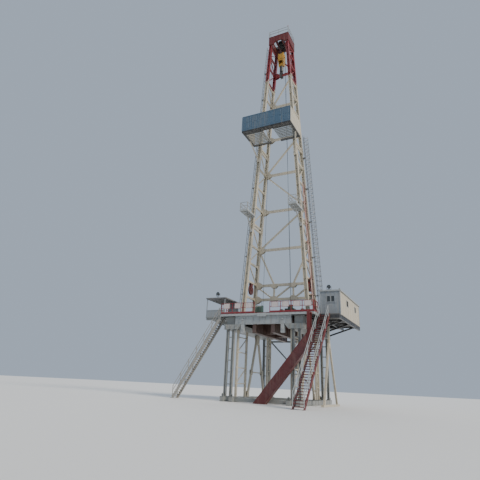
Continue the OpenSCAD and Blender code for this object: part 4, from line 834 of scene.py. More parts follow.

# Cabin on the right: a welded steel box on a bracket frame, with walls of flat sheets seamed at
# their joints, corner posts, a ribbed roof with lifting eyes, a door on the floor's side and framed
# windows.
# Painted light: the right wall, which faces the key light, and the seams on it are coated cream
# while the shaded walls are grey-blue, lit and shaded looks of the cabin's walls given as two
# paints.
coat(cream_paint, "cabin_right_wall")
wall_low, wall_high = box_about_well("cabin_rear_wall")
cab_left, cab_right, cab_top = wall_low.x, wall_high.x, wall_high.z
cab_back, cab_front = wall_high.y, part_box("cabin_front_wall")[0].y - well.y
hatch_z = floor_z + 0.55
seams = [pad((cab_right + 0.003, y), (0.005, 0.013), floor_z + 0.05, cab_top)
         for y in spread(cab_front, cab_back, 9)[1:-1]]
seams += [
    plate((cab_right - 0.004, cab_front, floor_z - 0.002),
          (cab_right + 0.014, cab_back, floor_z + 0.06), 0.004),
    framed((cab_right - 0.04, 2.75, floor_z + 0.07), (cab_right, 3.2, floor_z + 1.08),
           0.02, 0.012, 0),
    rod((cab_right, 2.81, hatch_z), (cab_right + 0.03, 2.81, hatch_z), 0.012, 12),
]
finished("cabin_side_seams", seams, cream_paint)
seams = []
for y, inward in ((cab_front, 1), (cab_back, -1)):
    for x, inside in ((cab_left, 1), (cab_right, -1)):
        seams.append(pad((x + inside * 0.27, y), (0.012, 0.007), floor_z, cab_top))
        corner = (x + inside * 0.02, y + inward * 0.02)
        seams.append(pad(corner, 0.032, floor_z - 0.04, cab_top + 0.004, 0.008))
    seams.append(plate((cab_left, y - 0.010, floor_z - 0.002),
                       (cab_right, y + 0.010, floor_z + 0.055), 0.004))
seams += [pad((cab_left - 0.003, y), (0.005, 0.012), floor_z, cab_top) for y in (0.4, 1.3, 2.2)]
door_y, door_w, door_h, around = -1.0, 0.45, 1.02, 0.03
seams.append(framed((cab_left, door_y - around, floor_z),
                    (cab_left + 0.01, door_y + door_w + around, floor_z + door_h + around),
                    0.028, 0.008, 0))
hinge = Vector((cab_left - 0.004, door_y + 0.01, floor_z))
seams += [rod(hinge + Vector((0, 0, z)), hinge + Vector((0, 0, z + 0.08)), 0.012, 10)
          for z in (0.15, 0.5, 0.85)]
finished("cabin_seams", seams, cabin_paint)
grip_x, grip_y = cab_left - 0.03, door_y + 0.38
handle = [rod((grip_x, grip_y, floor_z + 0.44), (grip_x, grip_y, floor_z + 0.58), 0.007, 10)]
handle += [rod((grip_x, grip_y, floor_z + z), (cab_left + 0.02, grip_y, floor_z + z), 0.007, 10)
           for z in (0.45, 0.57)]
finished("cabin_door_handle", handle, dark_steel)

sill, head, border = floor_z + 0.68, floor_z + 0.97, 0.028
frames, rubbers = [], []
for low, high, normal, panes in (
    ((3.335, cab_front, sill), (3.731, cab_front + 0.04, head), 1, 1),
    ((cab_right - 0.04, -0.045, sill), (cab_right, 0.385, head), 0, 1),
    ((cab_right - 0.04, 1.992, sill), (cab_right, 2.362, head), 0, 0),
):
    low, high = Vector(low), Vector(high)
    wide = Vector((border, 0, border)) if normal == 1 else Vector((0, border, border))
    frames.append(framed(low - wide, high + wide, 0.03, 0.010, normal))
    rubbers.append(framed(low, high, 0.010, 0.004, normal, panes))
frames.append(pad((3.533, cab_front + 0.010), (0.03, 0.02), sill, head))
frames.append(pad((3.533, cab_front - 0.006), (0.243, 0.010), sill - 0.075, sill - 0.055))
finished("window_frames", frames, cabin_paint)
finished("window_rubbers", rubbers, black_paint)
glass = sprayed("glass", (0.035, 0.045, 0.05), gloss=0.05, rust=0.0, dust=0.12)
coat(glass, "cabin_glass")

roof_low, roof_high = box_about_well("cabin_roof")
rib = plate((roof_low.x + 0.02, -0.02, roof_high.z - 0.002),
            (roof_high.x - 0.02, 0.02, roof_high.z + 0.012), 0.005)
ribs = [copies(rib, [(0, roof_low.y + 0.15 + 0.23 * i, 0) for i in range(21)])]
ribs += gutters(roof_low, roof_high, 0.02, 0.01)
rib_low, rib_high = roof_low.z - 0.02, roof_high.z + 0.01
ribs += [plate((roof_low.x, y - 0.006, rib_low), (roof_high.x, y + 0.006, rib_high))
         for y in (roof_low.y, roof_high.y)]
eyes = [(x, y, roof_high.z) for x in (roof_low.x + 0.08, roof_high.x - 0.08)
        for y in (roof_low.y + 0.1, roof_high.y - 0.1)]
ribs.append(copies(pad_eye(0.07, 0.016), eyes))
finished("cabin_roof_ribs", ribs, pale_paint)

# Bracket frame under the cabin: the flange edges of its long beams, stiffeners in their webs, and
# bolted plates where the cross beams and the props end.
under_z = floor_z - 0.05
beam_z = under_z - 0.18
flange_t, plate_low = 0.018, beam_z - 0.012
fixings = [plate((cab_right - 0.11, -1.8, z), (cab_right + 0.014, cab_back, z + flange_t))
           for z in (beam_z - 0.002, under_z - flange_t)]
web_low, web_high = beam_z + 0.016, under_z - flange_t
fixings += [pad((cab_right + 0.004, 0.44 * i - 1.68), (0.006, 0.005), web_low, web_high, 0)
            for i in range(12)]
heads, upside_down = [], Matrix.Rotation(math.pi, 4, "X")
for y in (-0.55, 0.85, 2.25):
    fixings.append(pad((cab_right - 0.15, y), (0.11, 0.075), plate_low, beam_z + 0.004))
    heads += [Matrix.Translation((cab_right - x, y + dy, plate_low)) @ upside_down
              for x in (0.07, 0.15, 0.23) for dy in (-0.055, 0.055)]
fixings.append(plate((cab_left, -1.806, beam_z), (cab_right, -1.794, under_z), 0.003))
finished("bracket_flanges", fixings, dark_steel)
finished("bracket_bolts", bolt(0.012, heads), dark_steel)

# Stairs: two long flights of open treads between channel stringers, with tubular handrails, grey
# on the left, red with pale rails on the right. The grated treads have nosings and are clipped to
# the stringers, and the flights hang on hooks at the floor and stand on foot plates.
stair_paint = sprayed("stair_paint", (0.36, 0.35, 0.32), rust=0.5)
coat(stair_paint, "left_stair")
coat(maroon_paint, "right_stair", "slide")
coat(pale_paint, "right_stair_rails")
dark_grating = sprayed("dark_grating", (0.16, 0.16, 0.155), gloss=0.5, rust=0.35, dust=0.35,
                       metal=0.3)
bar_pitch = 0.030
bearing_bars = bricks(dark_grating.node_tree, 1 / bar_pitch, 0.20, 0.25, 2.0, 1.0, offset=0)
# The openings between the bearing bars are laid over with near black: painted shade for the dark
# space seen through the grating.
painted_shade_in_openings = between(dark_grating.node_tree, bearing_bars, 0.85, 0.0)
over_paint(dark_grating, painted_shade_in_openings, (0.012, 0.012, 0.013))
raised(dark_grating, bearing_bars, 0.006)
coat(dark_grating, "stair_treads")


def bar(start, end, width, depth, edge=0.002, across=(0, 1, 0)):
    """A straight bar from start to end: `depth` is measured along `across`."""
    start, end = Vector(start), Vector(end)
    bpy.ops.mesh.primitive_cube_add(size=1)
    size = Matrix.Diagonal((width, depth, (end - start).length, 1))
    lies = Matrix.Translation((start + end) / 2) @ turned(end - start, across)
    return edges_broken(settled(bpy.context.object, lies @ size), edge)


post_joints = ((0.022, 0.530, 0.566, 0.005), (0.020, -0.002, 0.055, 0.004),
               (0.019, 0.270, 0.330, 0.004))
steps, stringer_y, tread_half, stringer_h = 39, 0.245, 0.26, 0.13
for name, top, foot, finish, rail_finish in (
    ("left", Vector((-2.55, -2.28, floor_z)), Vector((-5.417, -2.28, 0)), stair_paint, stair_paint),
    ("right", Vector((3.26, -1.8, floor_z)), Vector((3.26, -6.222, 0)), maroon_paint, pale_paint),
):
    run = foot - top
    down = math.hypot(run.x, run.y)
    slope = floor_z / down
    thick = stringer_h * math.hypot(1, slope)
    flight = Matrix.Translation(top) @ Matrix.Rotation(math.atan2(run.y, run.x), 4, "Z")
    places = [flight @ Matrix.Translation((i * down / steps, 0, -i * floor_z / steps))
              for i in range(1, steps)]
    nosing = [pad((x, 0), (0.006, tread_half - 0.032), -0.030, 0.002) for x in (-0.066, 0.066)]
    nosing += [pad((0, s * (tread_half - 0.031)), (0.05, 0.003), -0.060, -0.018) for s in (-1, 1)]
    finished(name + "_stair_nosings", copies(joined(nosing), places), finish)
    trims, heads, caps = [], [], []
    for outward in (-1, 1):
        y = outward * stringer_y
        for lift in (-0.006, 0.006 - thick):
            short = max(0.10, (0.03 - lift) / slope)
            trims.append(bar((0.02, y, -0.02 * slope + lift),
                             (down - short, y, (short - down) * slope + lift), 0.012, 0.052))
        trims.append(pad((down - 0.075, y), (0.095, 0.05), -floor_z, 0.014 - floor_z, 0.003))
        trims.append(pad((0.029, y), (0.041, 0.03), -0.20, 0.006, 0.006))
        heads += [
            flight @ facing((x, y + outward * 0.015, -x * slope - thick / 2), (0, outward, 0))
            for x in [i * down / steps for i in range(1, steps, 2)]
        ]
        for x in spread(down * 0.04, down * 0.98, 7):
            for half, low, high, edge in post_joints:
                caps.append(pad((x, y), half, low - x * slope, high - x * slope, edge))
    finished(name + "_stair_flanges", settled(joined(trims), flight), finish)
    finished(name + "_stair_bolts", bolt(0.010, heads), finish)
    finished(name + "_stair_rail_joints", settled(joined(caps), flight), rail_finish)

# Slide: a chute of dark red plate that leans in front of the floor, for sliding pipes and tools
# down. Its side plates are edged with flats and stiffened with ribs, and its bottom is worn to bare
# steel.
slide_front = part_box("slide")[0].y - well.y
slide_back = slide_front + 0.33
slide_top, slide_lean = Vector((2.89, 0, 3.65)), math.radians(50)
down_slide = Vector((-math.cos(slide_lean), 0, -math.sin(slide_lean)))
inward = Vector((math.sin(slide_lean), 0, -math.cos(slide_lean)))
slide_l = slide_top.z / math.sin(slide_lean)
rib_pitch = 0.345


def on_slide(y, deep, along):
    """A point on the slide: how deep under its top edge, and how far down it."""
    return slide_top + Vector((0, y, 0)) + inward * deep + down_slide * along


rims, knobs = [], []
for y, out in ((slide_front, -1), (slide_back, 1)):
    edge_y, rib_y = y - out * 0.008, y + out * 0.004
    rims.append(bar(on_slide(edge_y, 0, 0.01), on_slide(edge_y, 0, slide_l - 0.03), 0.014, 0.040))
    rims.append(bar(on_slide(edge_y, 0.474, 0.40), on_slide(edge_y, 0.474, slide_l - 0.44),
                    0.014, 0.036))
    for along in [0.42 + rib_pitch * i for i in range(11)]:
        rims.append(bar(on_slide(rib_y, 0.01, along), on_slide(rib_y, 0.472, along), 0.014, 0.022))
    knobs += [facing((2.70 + 0.03 * (i % 2), y + out * 0.001, 3.45 + 0.06 * i), (0, out, 0))
              for i in range(4)]
tie_ys = (slide_front - 0.02, slide_back + 0.02)
rims.append(rod(*[(2.83, y, 3.62) for y in tie_ys], 0.035, 20, 0.003))
finished("slide_ribs", rims, maroon_paint)
finished("slide_bolts", bolt(0.012, knobs), dark_steel)
worn_steel = sprayed("worn_steel", (0.16, 0.13, 0.115), gloss=0.32, rust=0.7, dust=0.4, metal=0.6)
slide_mid, bed = (slide_front + slide_back) / 2, 0.448
lining = bar(on_slide(slide_mid, bed, 0.42), on_slide(slide_mid, bed, slide_l - 0.40),
             0.010, 0.29, 0)
finished("slide_lining", lining, worn_steel)

# Mast legs: four legs of welded H section that lean in on both sides, in four sections that are
# spliced end to end with plates and bolts, and tied front to back by welded side lattices. All of
# it is sprayed cream, and the topmost section red. The feet stand on pinned shoes.
crown_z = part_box("crown_frame")[0].z
joint_z = [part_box(name + "_leg_frames")[1].z for name in ("lower", "middle", "upper")]
coat(cream_paint, "lower_leg_frames", "middle_leg_frames", "upper_leg_frames")
coat(cream_paint, "base_truss", "back_bracing")
coat(red_paint, "top_leg_frames")


def leg_at(side, face, z):
    """The middle of the leg on a side (left -1, right 1) and face (front -1, back 1) at z."""
    up = (z - floor_z) / (crown_z - floor_z)
    return Vector((side * (2.05 - 1.385 * up), face * (0.7575 - 0.1575 * up), z))


def leg_place(side, face, z):
    """A place in a leg: Z runs along it and X looks across its flanges."""
    run = leg_at(side, face, crown_z) - leg_at(side, face, floor_z)
    return Matrix.Translation(leg_at(side, face, z)) @ turned(run)


legs = [(side, face) for side in (-1, 1) for face in (-1, 1)]
chord_low, chord_high, splice_half = 5.9, 6.8, 0.11
back_nodes = [9.175, 11.9, 14.7, 17.6, 20.5, 23.4]
levels_between = ([6.86, 8.0175, 9.175], [11.9, 13.3, 14.7], [17.6, 19.05, 20.5], [23.4, 24.45])
starts = [chord_low] + [z + splice_half for z in joint_z]
stops = [z - splice_half for z in joint_z + [crown_z]]
strut_z = [[start] + middle + [stop] for start, middle, stop in zip(starts, levels_between, stops)]
side_outline = [(0, -0.13), (0.17, -0.13), (0.27, -0.05), (0.27, 0.05), (0.17, 0.13), (0, 0.13)]
side_holes = [(0.13, 0.05), (0.13, -0.05), (0.21, 0)]
back_outline = [(0.09, -0.23), (0.25, -0.23), (0.44, -0.09),
                (0.44, 0.09), (0.25, 0.23), (0.09, 0.23)]
back_holes = [(0.15, 0.15), (0.15, -0.15), (0.22, 0), (0.29, 0.04), (0.29, -0.04), (0.37, 0)]
rib_step = 0.62
for name, low, high, struts, nodes, finish in (
    ("lower", floor_z, joint_z[2], sum(strut_z[:3], []),
     [chord_low, chord_high] + back_nodes[:5], cream_paint),
    ("top", joint_z[2], crown_z, strut_z[3], back_nodes[5:], red_paint),
):
    levels = [low + 0.35 + rib_step * i for i in range(int((high - low - 0.4) / rib_step))]
    web_rib = pad((0, 0), (0.081, 0.094), -0.005, 0.005, 0)
    ribs = copies(web_rib, [leg_place(*leg, z) for leg in legs for z in levels])
    side_places = [
        Matrix.Translation(leg_at(side, face, z)) @ Matrix.Rotation(-face * math.pi / 2, 4, "Z")
        for z in struts for side, face in legs
    ]
    back_places = [
        Matrix.Translation(leg_at(side, 1, z)) @ Matrix.Rotation(0 if side < 0 else math.pi, 4, "Z")
        for z in nodes for side in (-1, 1)
    ]
    side_plates, side_studs = gussets(side_outline, side_places, 0.0595, side_holes)
    back_plates, back_studs = gussets(back_outline, back_places, 0.080, back_holes)
    finished(name + "_mast_gussets", [ribs, side_plates, back_plates], finish)
    finished(name + "_mast_bolts", bolt(0.012, side_studs + back_studs), finish)

splice = [pad((x, 0), (0.007, 0.085), low, high)
          for x in (-0.106, 0.106) for low, high in ((-0.25, -0.024), (0.024, 0.25))]
splice += [rod((-0.135, 0, z), (0.135, 0, z), 0.035, 16, 0.004) for z in (-0.13, 0.13)]
joints = [leg_place(*leg, z) for z in joint_z for leg in legs]
finished("leg_splices", copies(joined(splice), joints), cream_paint)
splice_bolts = [
    joint @ facing((s * 0.113, y, z), (s, 0, 0))
    for joint in joints for s in (-1, 1) for y in (-0.06, 0.06) for z in (-0.21, -0.06, 0.06, 0.21)
]
finished("leg_splice_bolts", bolt(0.013, splice_bolts), dark_steel)

pin_z = 0.14
shoe = [pad((0, y), (0.045, 0.030), 0.04, 0.20, 0.006) for y in (-0.135, 0.135)]
shoe += [pad((x, 0), (0.0325, 0.010), 0.04, 0.12, 0.004) for x in (-0.1325, 0.1325)]
shoe.append(rod((0, -0.185, pin_z), (0, 0.185, pin_z), 0.036, 20, 0.004))
shoe += [rod((0, y - 0.005, pin_z), (0, y + 0.005, pin_z), 0.062, 20, 0.002)
         for y in (-0.165, 0.165)]
feet = [leg_at(*leg, floor_z) for leg in legs]
finished("leg_shoes", copies(joined(shoe), feet), cream_paint)
shoe_bolts = [
    foot + Vector((dx, dy, 0.04))
    for foot in feet for dx in (-0.135, 0.135) for dy in (-0.135, -0.06, 0.06, 0.135)
]
finished("leg_shoe_bolts", bolt(0.014, shoe_bolts), dark_steel)

# Base truss: the raised back of the mast just over the floor, where the drilling gear passes under
# it. Flat gussets cover the joints of its chords, its uprights and its slanted bars.
truss_outline = [(-0.24, -0.085), (0.24, -0.085), (0.24, 0.085),
                 (0.13, 0.20), (-0.13, 0.20), (-0.24, 0.085)]
truss_holes = [(a, b) for a in (-0.18, 0.18) for b in (0.03, -0.03)] + [(0.06, 0.14), (-0.06, 0.14)]
truss_places = []
for side in (-1, 1):
    for z, turn in ((chord_low, 0), (chord_high, math.pi)):
        leg = leg_at(side, 1, z)
        lies = Matrix.Translation((leg.x / 3, leg.y, z)) @ Matrix.Rotation(turn, 4, "Y")
        truss_places.append(lies)
truss_plates, truss_bolts = gussets(truss_outline, truss_places, 0.080, truss_holes)
finished("base_truss_gussets", truss_plates, cream_paint)
finished("base_truss_bolts", bolt(0.012, truss_bolts), cream_paint)

# Top bracing: the welded steel bars at the back of the topmost section, sprayed in place. The
# lowest slanting bar is still cream, and the red begins at the beam above it.


def other_paint(material, axis, limit, mottle, tones):
    """A mottled paint over a finished one, where a piece's own coordinate is under a limit."""
    tree = material.node_tree
    split = tree.nodes.new("ShaderNodeSeparateXYZ")
    under = tree.nodes.new("ShaderNodeMath")
    under.operation = "LESS_THAN"
    under.inputs[1].default_value = limit
    tree.links.new(coordinates(tree), split.inputs["Vector"])
    tree.links.new(split.outputs[axis], under.inputs[0])
    over_paint(material, under.outputs["Value"], laid_over(tree, patches(tree, *mottle), *tones))


red_from = 23.28
bracing_paint = sprayed("top_bracing_paint", red_tone, rust=0.4, dust=0.3)
other_paint(bracing_paint, "Z", red_from, (0.9, (0.40, 0.66)), (cream_tone, (0.48, 0.445, 0.36)))
coat(bracing_paint, "top_bracing")

# Mud pipes on the right side of the mast: two standpipes in clamps on the side struts, with hammer
# unions and a valve at man's height. The front one is in pale primer and the back one in brown.
pipe_paint = sprayed("standpipe_paint", (0.115, 0.052, 0.040), rust=0.6, dust=0.35)
other_paint(pipe_paint, "Y", well.y, (0.5, (0.42, 0.62)), ((0.50, 0.37, 0.33), (0.30, 0.15, 0.12)))
coat(pipe_paint, "standpipes")
pipe_out, pipe_lines, valve_z = 0.147, (-0.12, 0.12), 4.98


def pipe_place(y, z):
    """A place on a standpipe's line, Z along the pipe."""
    return Matrix.Translation((leg_at(1, 1, z).x + pipe_out, y, z)) @ turned((-0.066, 0, 1))


collar = joined([
    rod((0, 0, -0.05), (0, 0, 0.05), 0.056, 20, 0.004),
    rod((0, 0, -0.014), (0, 0, 0.014), 0.072, 20, 0.004),
    pad((0, 0), (0.085, 0.016), -0.014, 0.014, 0.004),
])
valve = joined([
    pad((0, 0), 0.065, -0.09, 0.09, 0.016),
    rod((0.06, 0, 0), (0.13, 0, 0), 0.022, 12),
    ring((0.125, 0, 0), (1, 0, 0), 0.075, 0.009, 24),
    pad((0.125, 0), (0.005, 0.070), -0.007, 0.007),
    pad((0.125, 0), (0.005, 0.007), -0.070, 0.070),
])
collar_zs, clamp_zs = (4.62, 5.35, 7.9, 10.4, 12.3), (chord_low, 6.86, 9.175, 11.9)
fittings = [
    copies(collar, [pipe_place(y, z) for y in pipe_lines for z in collar_zs]),
    copies(valve, [pipe_place(y, valve_z) for y in pipe_lines]),
]
nuts = []
for z in clamp_zs:
    x = leg_at(1, 1, z).x + pipe_out + 0.050
    for y in pipe_lines:
        fittings.append(pad((x - 0.007, y), (0.007, 0.075), z - 0.026, z + 0.026, 0.004))
        nuts += [facing((x, y + dy, z), (1, 0, 0)) for dy in (-0.06, 0.06)]
finished("standpipe_fittings", fittings, pipe_paint)
finished("standpipe_nuts", bolt(0.012, nuts), dark_steel)

# Raising sheaves: the grooved steel wheels, dark red, at the foot of the mast that its raising line
# ran over. Each has a bossed hub, a rim and lightening holes, which are black discs on the web:
# painted shade where the wheel would be open. Its cheeks are bolted under the saddle strut.
coat(maroon_paint, "raising_sheaves")
sheave_z = 6.4
sheave_x = leg_at(1, 1, sheave_z).x
sheave_place = (sheave_x, 0, sheave_z)
wheel, holes = [], []
for s in (-1, 1):
    wheel += [
        disc(s, 0.038, 0.049, (0, 0), 0.105, 28),
        ring((s * 0.040, 0, 0), (1, 0, 0), 0.268, 0.010),
        disc(s, 0.070, 0.098, (0, 0), 0.038, 6, 0.003),
        disc(s, 0.068, 0.076, (0, 0), 0.068, 24, 0.003),
    ]
    for a in [math.radians(30 + 60 * k) for k in range(6)]:
        y, z = 0.19 * math.cos(a), 0.19 * math.sin(a)
        wheel.append(ring((s * 0.040, y, z), (1, 0, 0), 0.047, 0.006, 20))
        # A black disc inside each ring: painted shade in place of the open hole.
        holes.append(disc(s, 0.0385, 0.0415, (y, z), 0.045, 20, 0))
    wheel += [pad((s * 0.060, y), (0.014, 0.006), 0.05, 0.33) for y in (-0.10, 0.10)]
finished("raising_sheave_hubs", mirrored(settled(joined(wheel), sheave_place)), maroon_paint)
finished("raising_sheave_painted_hole_shade", mirrored(settled(joined(holes), sheave_place)), black_paint)
saddle = [
    facing((s * sheave_x + dx, dy, sheave_z + 0.356), (0, 0, -1))
    for s in (-1, 1) for dx in (-0.045, 0.045) for dy in (-0.12, 0.12)
]
finished("raising_sheave_bolts", bolt(0.013, saddle), dark_steel)

# Ladders: galvanized, with round rungs, on arms bolted to the legs, one up the left front leg to
# the crown and a caged one up the right back leg. The cage's hoops stand a forearm apart.
galvanized = sprayed("galvanized", (0.17, 0.17, 0.165), gloss=0.45, rust=0.5, dust=0.3, metal=0.4)
coat(galvanized, "left_ladder", "right_ladder", "ladder_cage")


def ladder_place(side, face, along):
    """A place on a ladder's line, Z up the ladder."""
    foot = leg_at(side, face, floor_z)
    run = leg_at(side, face, crown_z) - foot
    middle = foot + Vector((side * 0.25, 0, 0)) + run.normalized() * along
    return Matrix.Translation(middle) @ turned(run)


arms = []
for side, face, top in ((-1, -1, 25.0), (1, 1, 17.1)):
    for z in [z for z in spread(6.0, 25.2, 9) if z < top]:
        point = leg_at(side, face, z) + Vector((side * 0.10, 0, 0))
        arms.append(settled(pad((0, 0), (0.006, 0.085), -0.045, 0.045), point))
        arms.append(bolt(0.011, [
            facing(point + Vector((side * 0.006, y, 0.028)), (side, 0, 0)) for y in (-0.06, 0, 0.06)
        ]))
finished("ladder_pads", arms, galvanized)
cage_x, hoop_r, strip_r = 0.144, 0.176, 0.174
span = [math.radians(a) for a in range(-144, 145, 24)]
rim = [(cage_x + hoop_r * math.cos(a), hoop_r * math.sin(a), 0) for a in span]
hoop = joined([bar(start, end, 0.006, 0.022, 0, (0, 0, 1)) for start, end in zip(rim, rim[1:])])
hoops = [ladder_place(1, 1, 1.8 + 0.6 * i) for i in range(19)]
finished("cage_hoops", copies(hoop, hoops), galvanized)
strips = []
for a in [math.radians(d) for d in (-95, -30, 30, 95)]:
    x, y = cage_x + strip_r * math.cos(a), strip_r * math.sin(a)
    strips.append(bar((x, y, 1.5), (x, y, 12.8), 0.014, 0.006, 0, (-math.sin(a), math.cos(a), 0)))
finished("cage_strips", settled(joined(strips), ladder_place(1, 1, 0)), galvanized)

# Balconies: two small platforms of pale chequered plate in front of the front legs, half way up to
# the monkey board, with guard rails and kick plates, on brackets that are bolted to the legs.
balcony_plate = chequered("balcony_plate", (0.36, 0.37, 0.36), (0.46, 0.46, 0.44))
coat(balcony_plate, "balconies")
balcony_z = 11.0
x0, x1, y0, y1 = 1.341, 1.861, -2.179, -0.929
kick_low, kick_high = balcony_z - 0.052, balcony_z + 0.07
trims = [
    plate((x0 - 0.004, y0 - 0.004, kick_low), (x0 + 0.010, y1, kick_high)),
    plate((x1 - 0.010, y0 - 0.004, kick_low), (x1 + 0.004, y1, kick_high)),
    plate((x0, y0 - 0.004, kick_low), (x1, y0 + 0.010, kick_high)),
]
trims += [plate((x0 + 0.01, y - 0.02, balcony_z - 0.085), (x1 - 0.01, y + 0.02, balcony_z - 0.048))
          for y in (y0 + 0.25, y0 + 0.65, y1 - 0.1)]
for x in (x0 + 0.015, x1 - 0.015):
    for y in (y0 + 0.02, (y0 + y1) / 2, y1 - 0.02):
        trims.append(pad((x, y), 0.021, balcony_z + 0.26, balcony_z + 0.32, 0.004))
        trims.append(pad((x, y), 0.020, balcony_z + 0.51, balcony_z + 0.545, 0.004))
foot = leg_at(1, -1, balcony_z - 0.9) + Vector((0, -0.16, 0))
trims.append(bolt(0.014, [
    facing(foot + Vector((dx, 0, dz)), (0, -1, 0)) for dx in (-0.07, 0.07) for dz in (-0.07, 0.07)
]))
finished("balcony_trims", mirrored(trims), pale_paint)

# Monkey board: the derrickman's platform high on the mast's front. Grated walkways run round an
# open middle on a frame of dark channels, with pipe fingers, and it is closed in by a blue wind
# wall in front and cream ones at its sides, each of pressed panels on posts.
blue_paint = sprayed("blue_paint", (0.060, 0.115, 0.180), gloss=0.5, rust=0.2, dust=0.3)
coat(blue_paint, "board_front_wall")
coat(cream_paint, "board_side_walls", "board_struts")
coat(dark_grating, "board_floor")
coat(grey_paint, "pipe_fingers")
board_z, wall_top = (corner.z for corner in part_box("board_front_wall"))
half, front, back = 1.71, -2.7675, -0.8175
outer = front - 0.009
seam_xs = spread(0.01 - half, half - 0.01, 7)
blues = [
    plate((-half - 0.002, front - 0.010, low), (half + 0.002, back_y, high), 0.004)
    for back_y, low, high in ((front + 0.03, wall_top - 0.05, wall_top + 0.006),
                              (front + 0.018, board_z - 0.02, board_z + 0.05))
]
blues += [pad((x, front - 0.0025), (0.03, 0.0065), board_z + 0.04, wall_top - 0.04, 0.004)
          for x in seam_xs]
for left, right in zip(seam_xs, seam_xs[1:]):
    middle = ((left + right) / 2, front - 0.0015)
    blues += [pad(middle, (0.19, 0.0055), board_z + low, board_z + high, 0.006)
              for low, high in ((0.12, 0.50), (0.60, 0.99))]
finished("wind_wall_panels", blues, blue_paint)
rivets = [
    facing((x + dx, outer, board_z + 0.10 + 0.13 * k), (0, -1, 0))
    for x in seam_xs for dx in (-0.018, 0.018) for k in range(8)
]
finished("wind_wall_bolts", bolt(0.008, rivets), blue_paint)
side_x = half + 0.010
creams = [
    plate((half - 0.020, front + 0.05, wall_top - 0.045), (side_x, back, wall_top + 0.005), 0.004),
    plate((half - 0.010, front + 0.05, board_z - 0.02), (side_x, back, board_z + 0.05), 0.004),
    plate((half - 0.05, back - 0.03, board_z - 0.1), (half + 0.004, back + 0.012, wall_top), 0.004),
]
creams += [pad((half + 0.0025, y), (0.0065, 0.02), board_z + 0.05, wall_top - 0.045, 0.003)
           for y in spread(front + 0.07, back - 0.02, 5)]
finished("side_wall_panels", mirrored(creams), cream_paint)

# Dark channels under the walkways, with hangers bolted to the mast's legs. Each finger has a latch
# on its free end, a post with a swinging bar, and a clip at its root.
walk_w, side_w, gap_half = 0.32, 0.11, 0.35
low = board_z - 0.11
flange_low, flange_high = low - 0.006, low + 0.012
channels = [
    plate((-half - 0.003, front - 0.004, flange_low), (half + 0.003, front + 0.05, flange_high)),
    plate((-half - 0.003, front - 0.004, low), (half + 0.003, front + 0.004, board_z - 0.02)),
    plate((-half, front + walk_w - 0.05, flange_low), (half, front + walk_w + 0.003, flange_high)),
]
for s in (-1, 1):
    side_middle = (s * (half - 0.025), (front + back) / 2)
    channels.append(pad(side_middle, (0.028, (back - front) / 2), flange_low, flange_high))
    back_middle = (s * (gap_half + half) / 2, back - 0.026)
    channels.append(pad(back_middle, ((half - gap_half) / 2, 0.029), flange_low, flange_high))
channels += [pad((x, front + walk_w / 2), (0.012, walk_w / 2 - 0.05), low - 0.018, low + 0.004)
             for x in spread(0.14 - half, half - 0.14, 12)]
finished("board_channels", channels, dark_steel)
pitch = (back - side_w - front - walk_w) / 9
latches = []
for s in (-1, 1):
    tip, post, heel = s * (gap_half + 0.012), s * 0.62, s * 1.595
    for y in [front + walk_w + i * pitch for i in range(1, 9)]:
        latches.append(pad((tip, y), (0.016, 0.029), board_z - 0.066, board_z + 0.006, 0.003))
        latches.append(rod((post, y, board_z - 0.004), (post, y, board_z + 0.030), 0.014, 10))
        latches.append(bar((post, y, board_z + 0.018), (post, y + pitch * 0.62, board_z + 0.018),
                           0.012, 0.012, across=(1, 0, 0)))
        latches.append(pad((heel, y), (0.02, 0.032), board_z - 0.07, board_z - 0.004, 0.003))
finished("finger_latches", latches, pale_paint)
foot = leg_at(1, -1, board_z - 1.25) + Vector((0, -0.16, 0))
knee = leg_at(1, -1, board_z)
hangers = [
    pad((foot.x, foot.y - 0.001), (0.11, 0.005), foot.z - 0.14, foot.z + 0.14, 0.003),
    pad((knee.x, back + 0.010), (0.13, 0.020), board_z - 0.125, board_z + 0.01, 0.003),
    bolt(0.014, [
        facing(foot + Vector((dx, -0.006, dz)), (0, -1, 0))
        for dx in (-0.075, 0.075) for dz in (-0.1, 0, 0.1)
    ]),
]
finished("board_hangers", mirrored(hangers), cream_paint)

# Crown: the welded box frame on the mast's top, in dark red, with flange edges and stiffeners. Its
# two cradles hold the shafts in bolted bearing caps, and a guard bar keeps the lines in the
# sheaves' grooves.
coat(maroon_paint, "crown_frame")
coat(dark_steel, "crown_sheaves")
coat(pale_paint, "crown_rails")
crown_x, crown_y, crown_top, shaft_z = 0.795, 0.73, 26.25, 25.9125
edge_bottom, edge_top = (crown_z - 0.004, crown_z + 0.022), (crown_top - 0.020, crown_top + 0.006)
edging = []
for s in (-1, 1):
    flange_x, flange_y = s * (crown_x - 0.058), s * (crown_y - 0.058)
    for levels in (edge_bottom, edge_top):
        edging.append(pad((flange_x, 0), (0.072, crown_y + 0.014), *levels))
    edging.append(pad((0, flange_y), (crown_x, 0.072), *edge_top))
    for x in spread(-0.66, 0.66, 7):
        foot = crown_z + (0.30 if abs(x) < 0.56 else 0.022)
        edging.append(pad((x, s * (crown_y + 0.005)), (0.008, 0.007), foot, crown_top - 0.02, 0))
    edging += [pad((s * (crown_x + 0.005), y), (0.007, 0.008), crown_z + 0.022, crown_top - 0.02, 0)
               for y in spread(-0.63, 0.63, 7)]
finished("crown_edges", edging, maroon_paint)
cap_z, guard_y = 0.112, 0.345
caps, cap_bolts = [], []
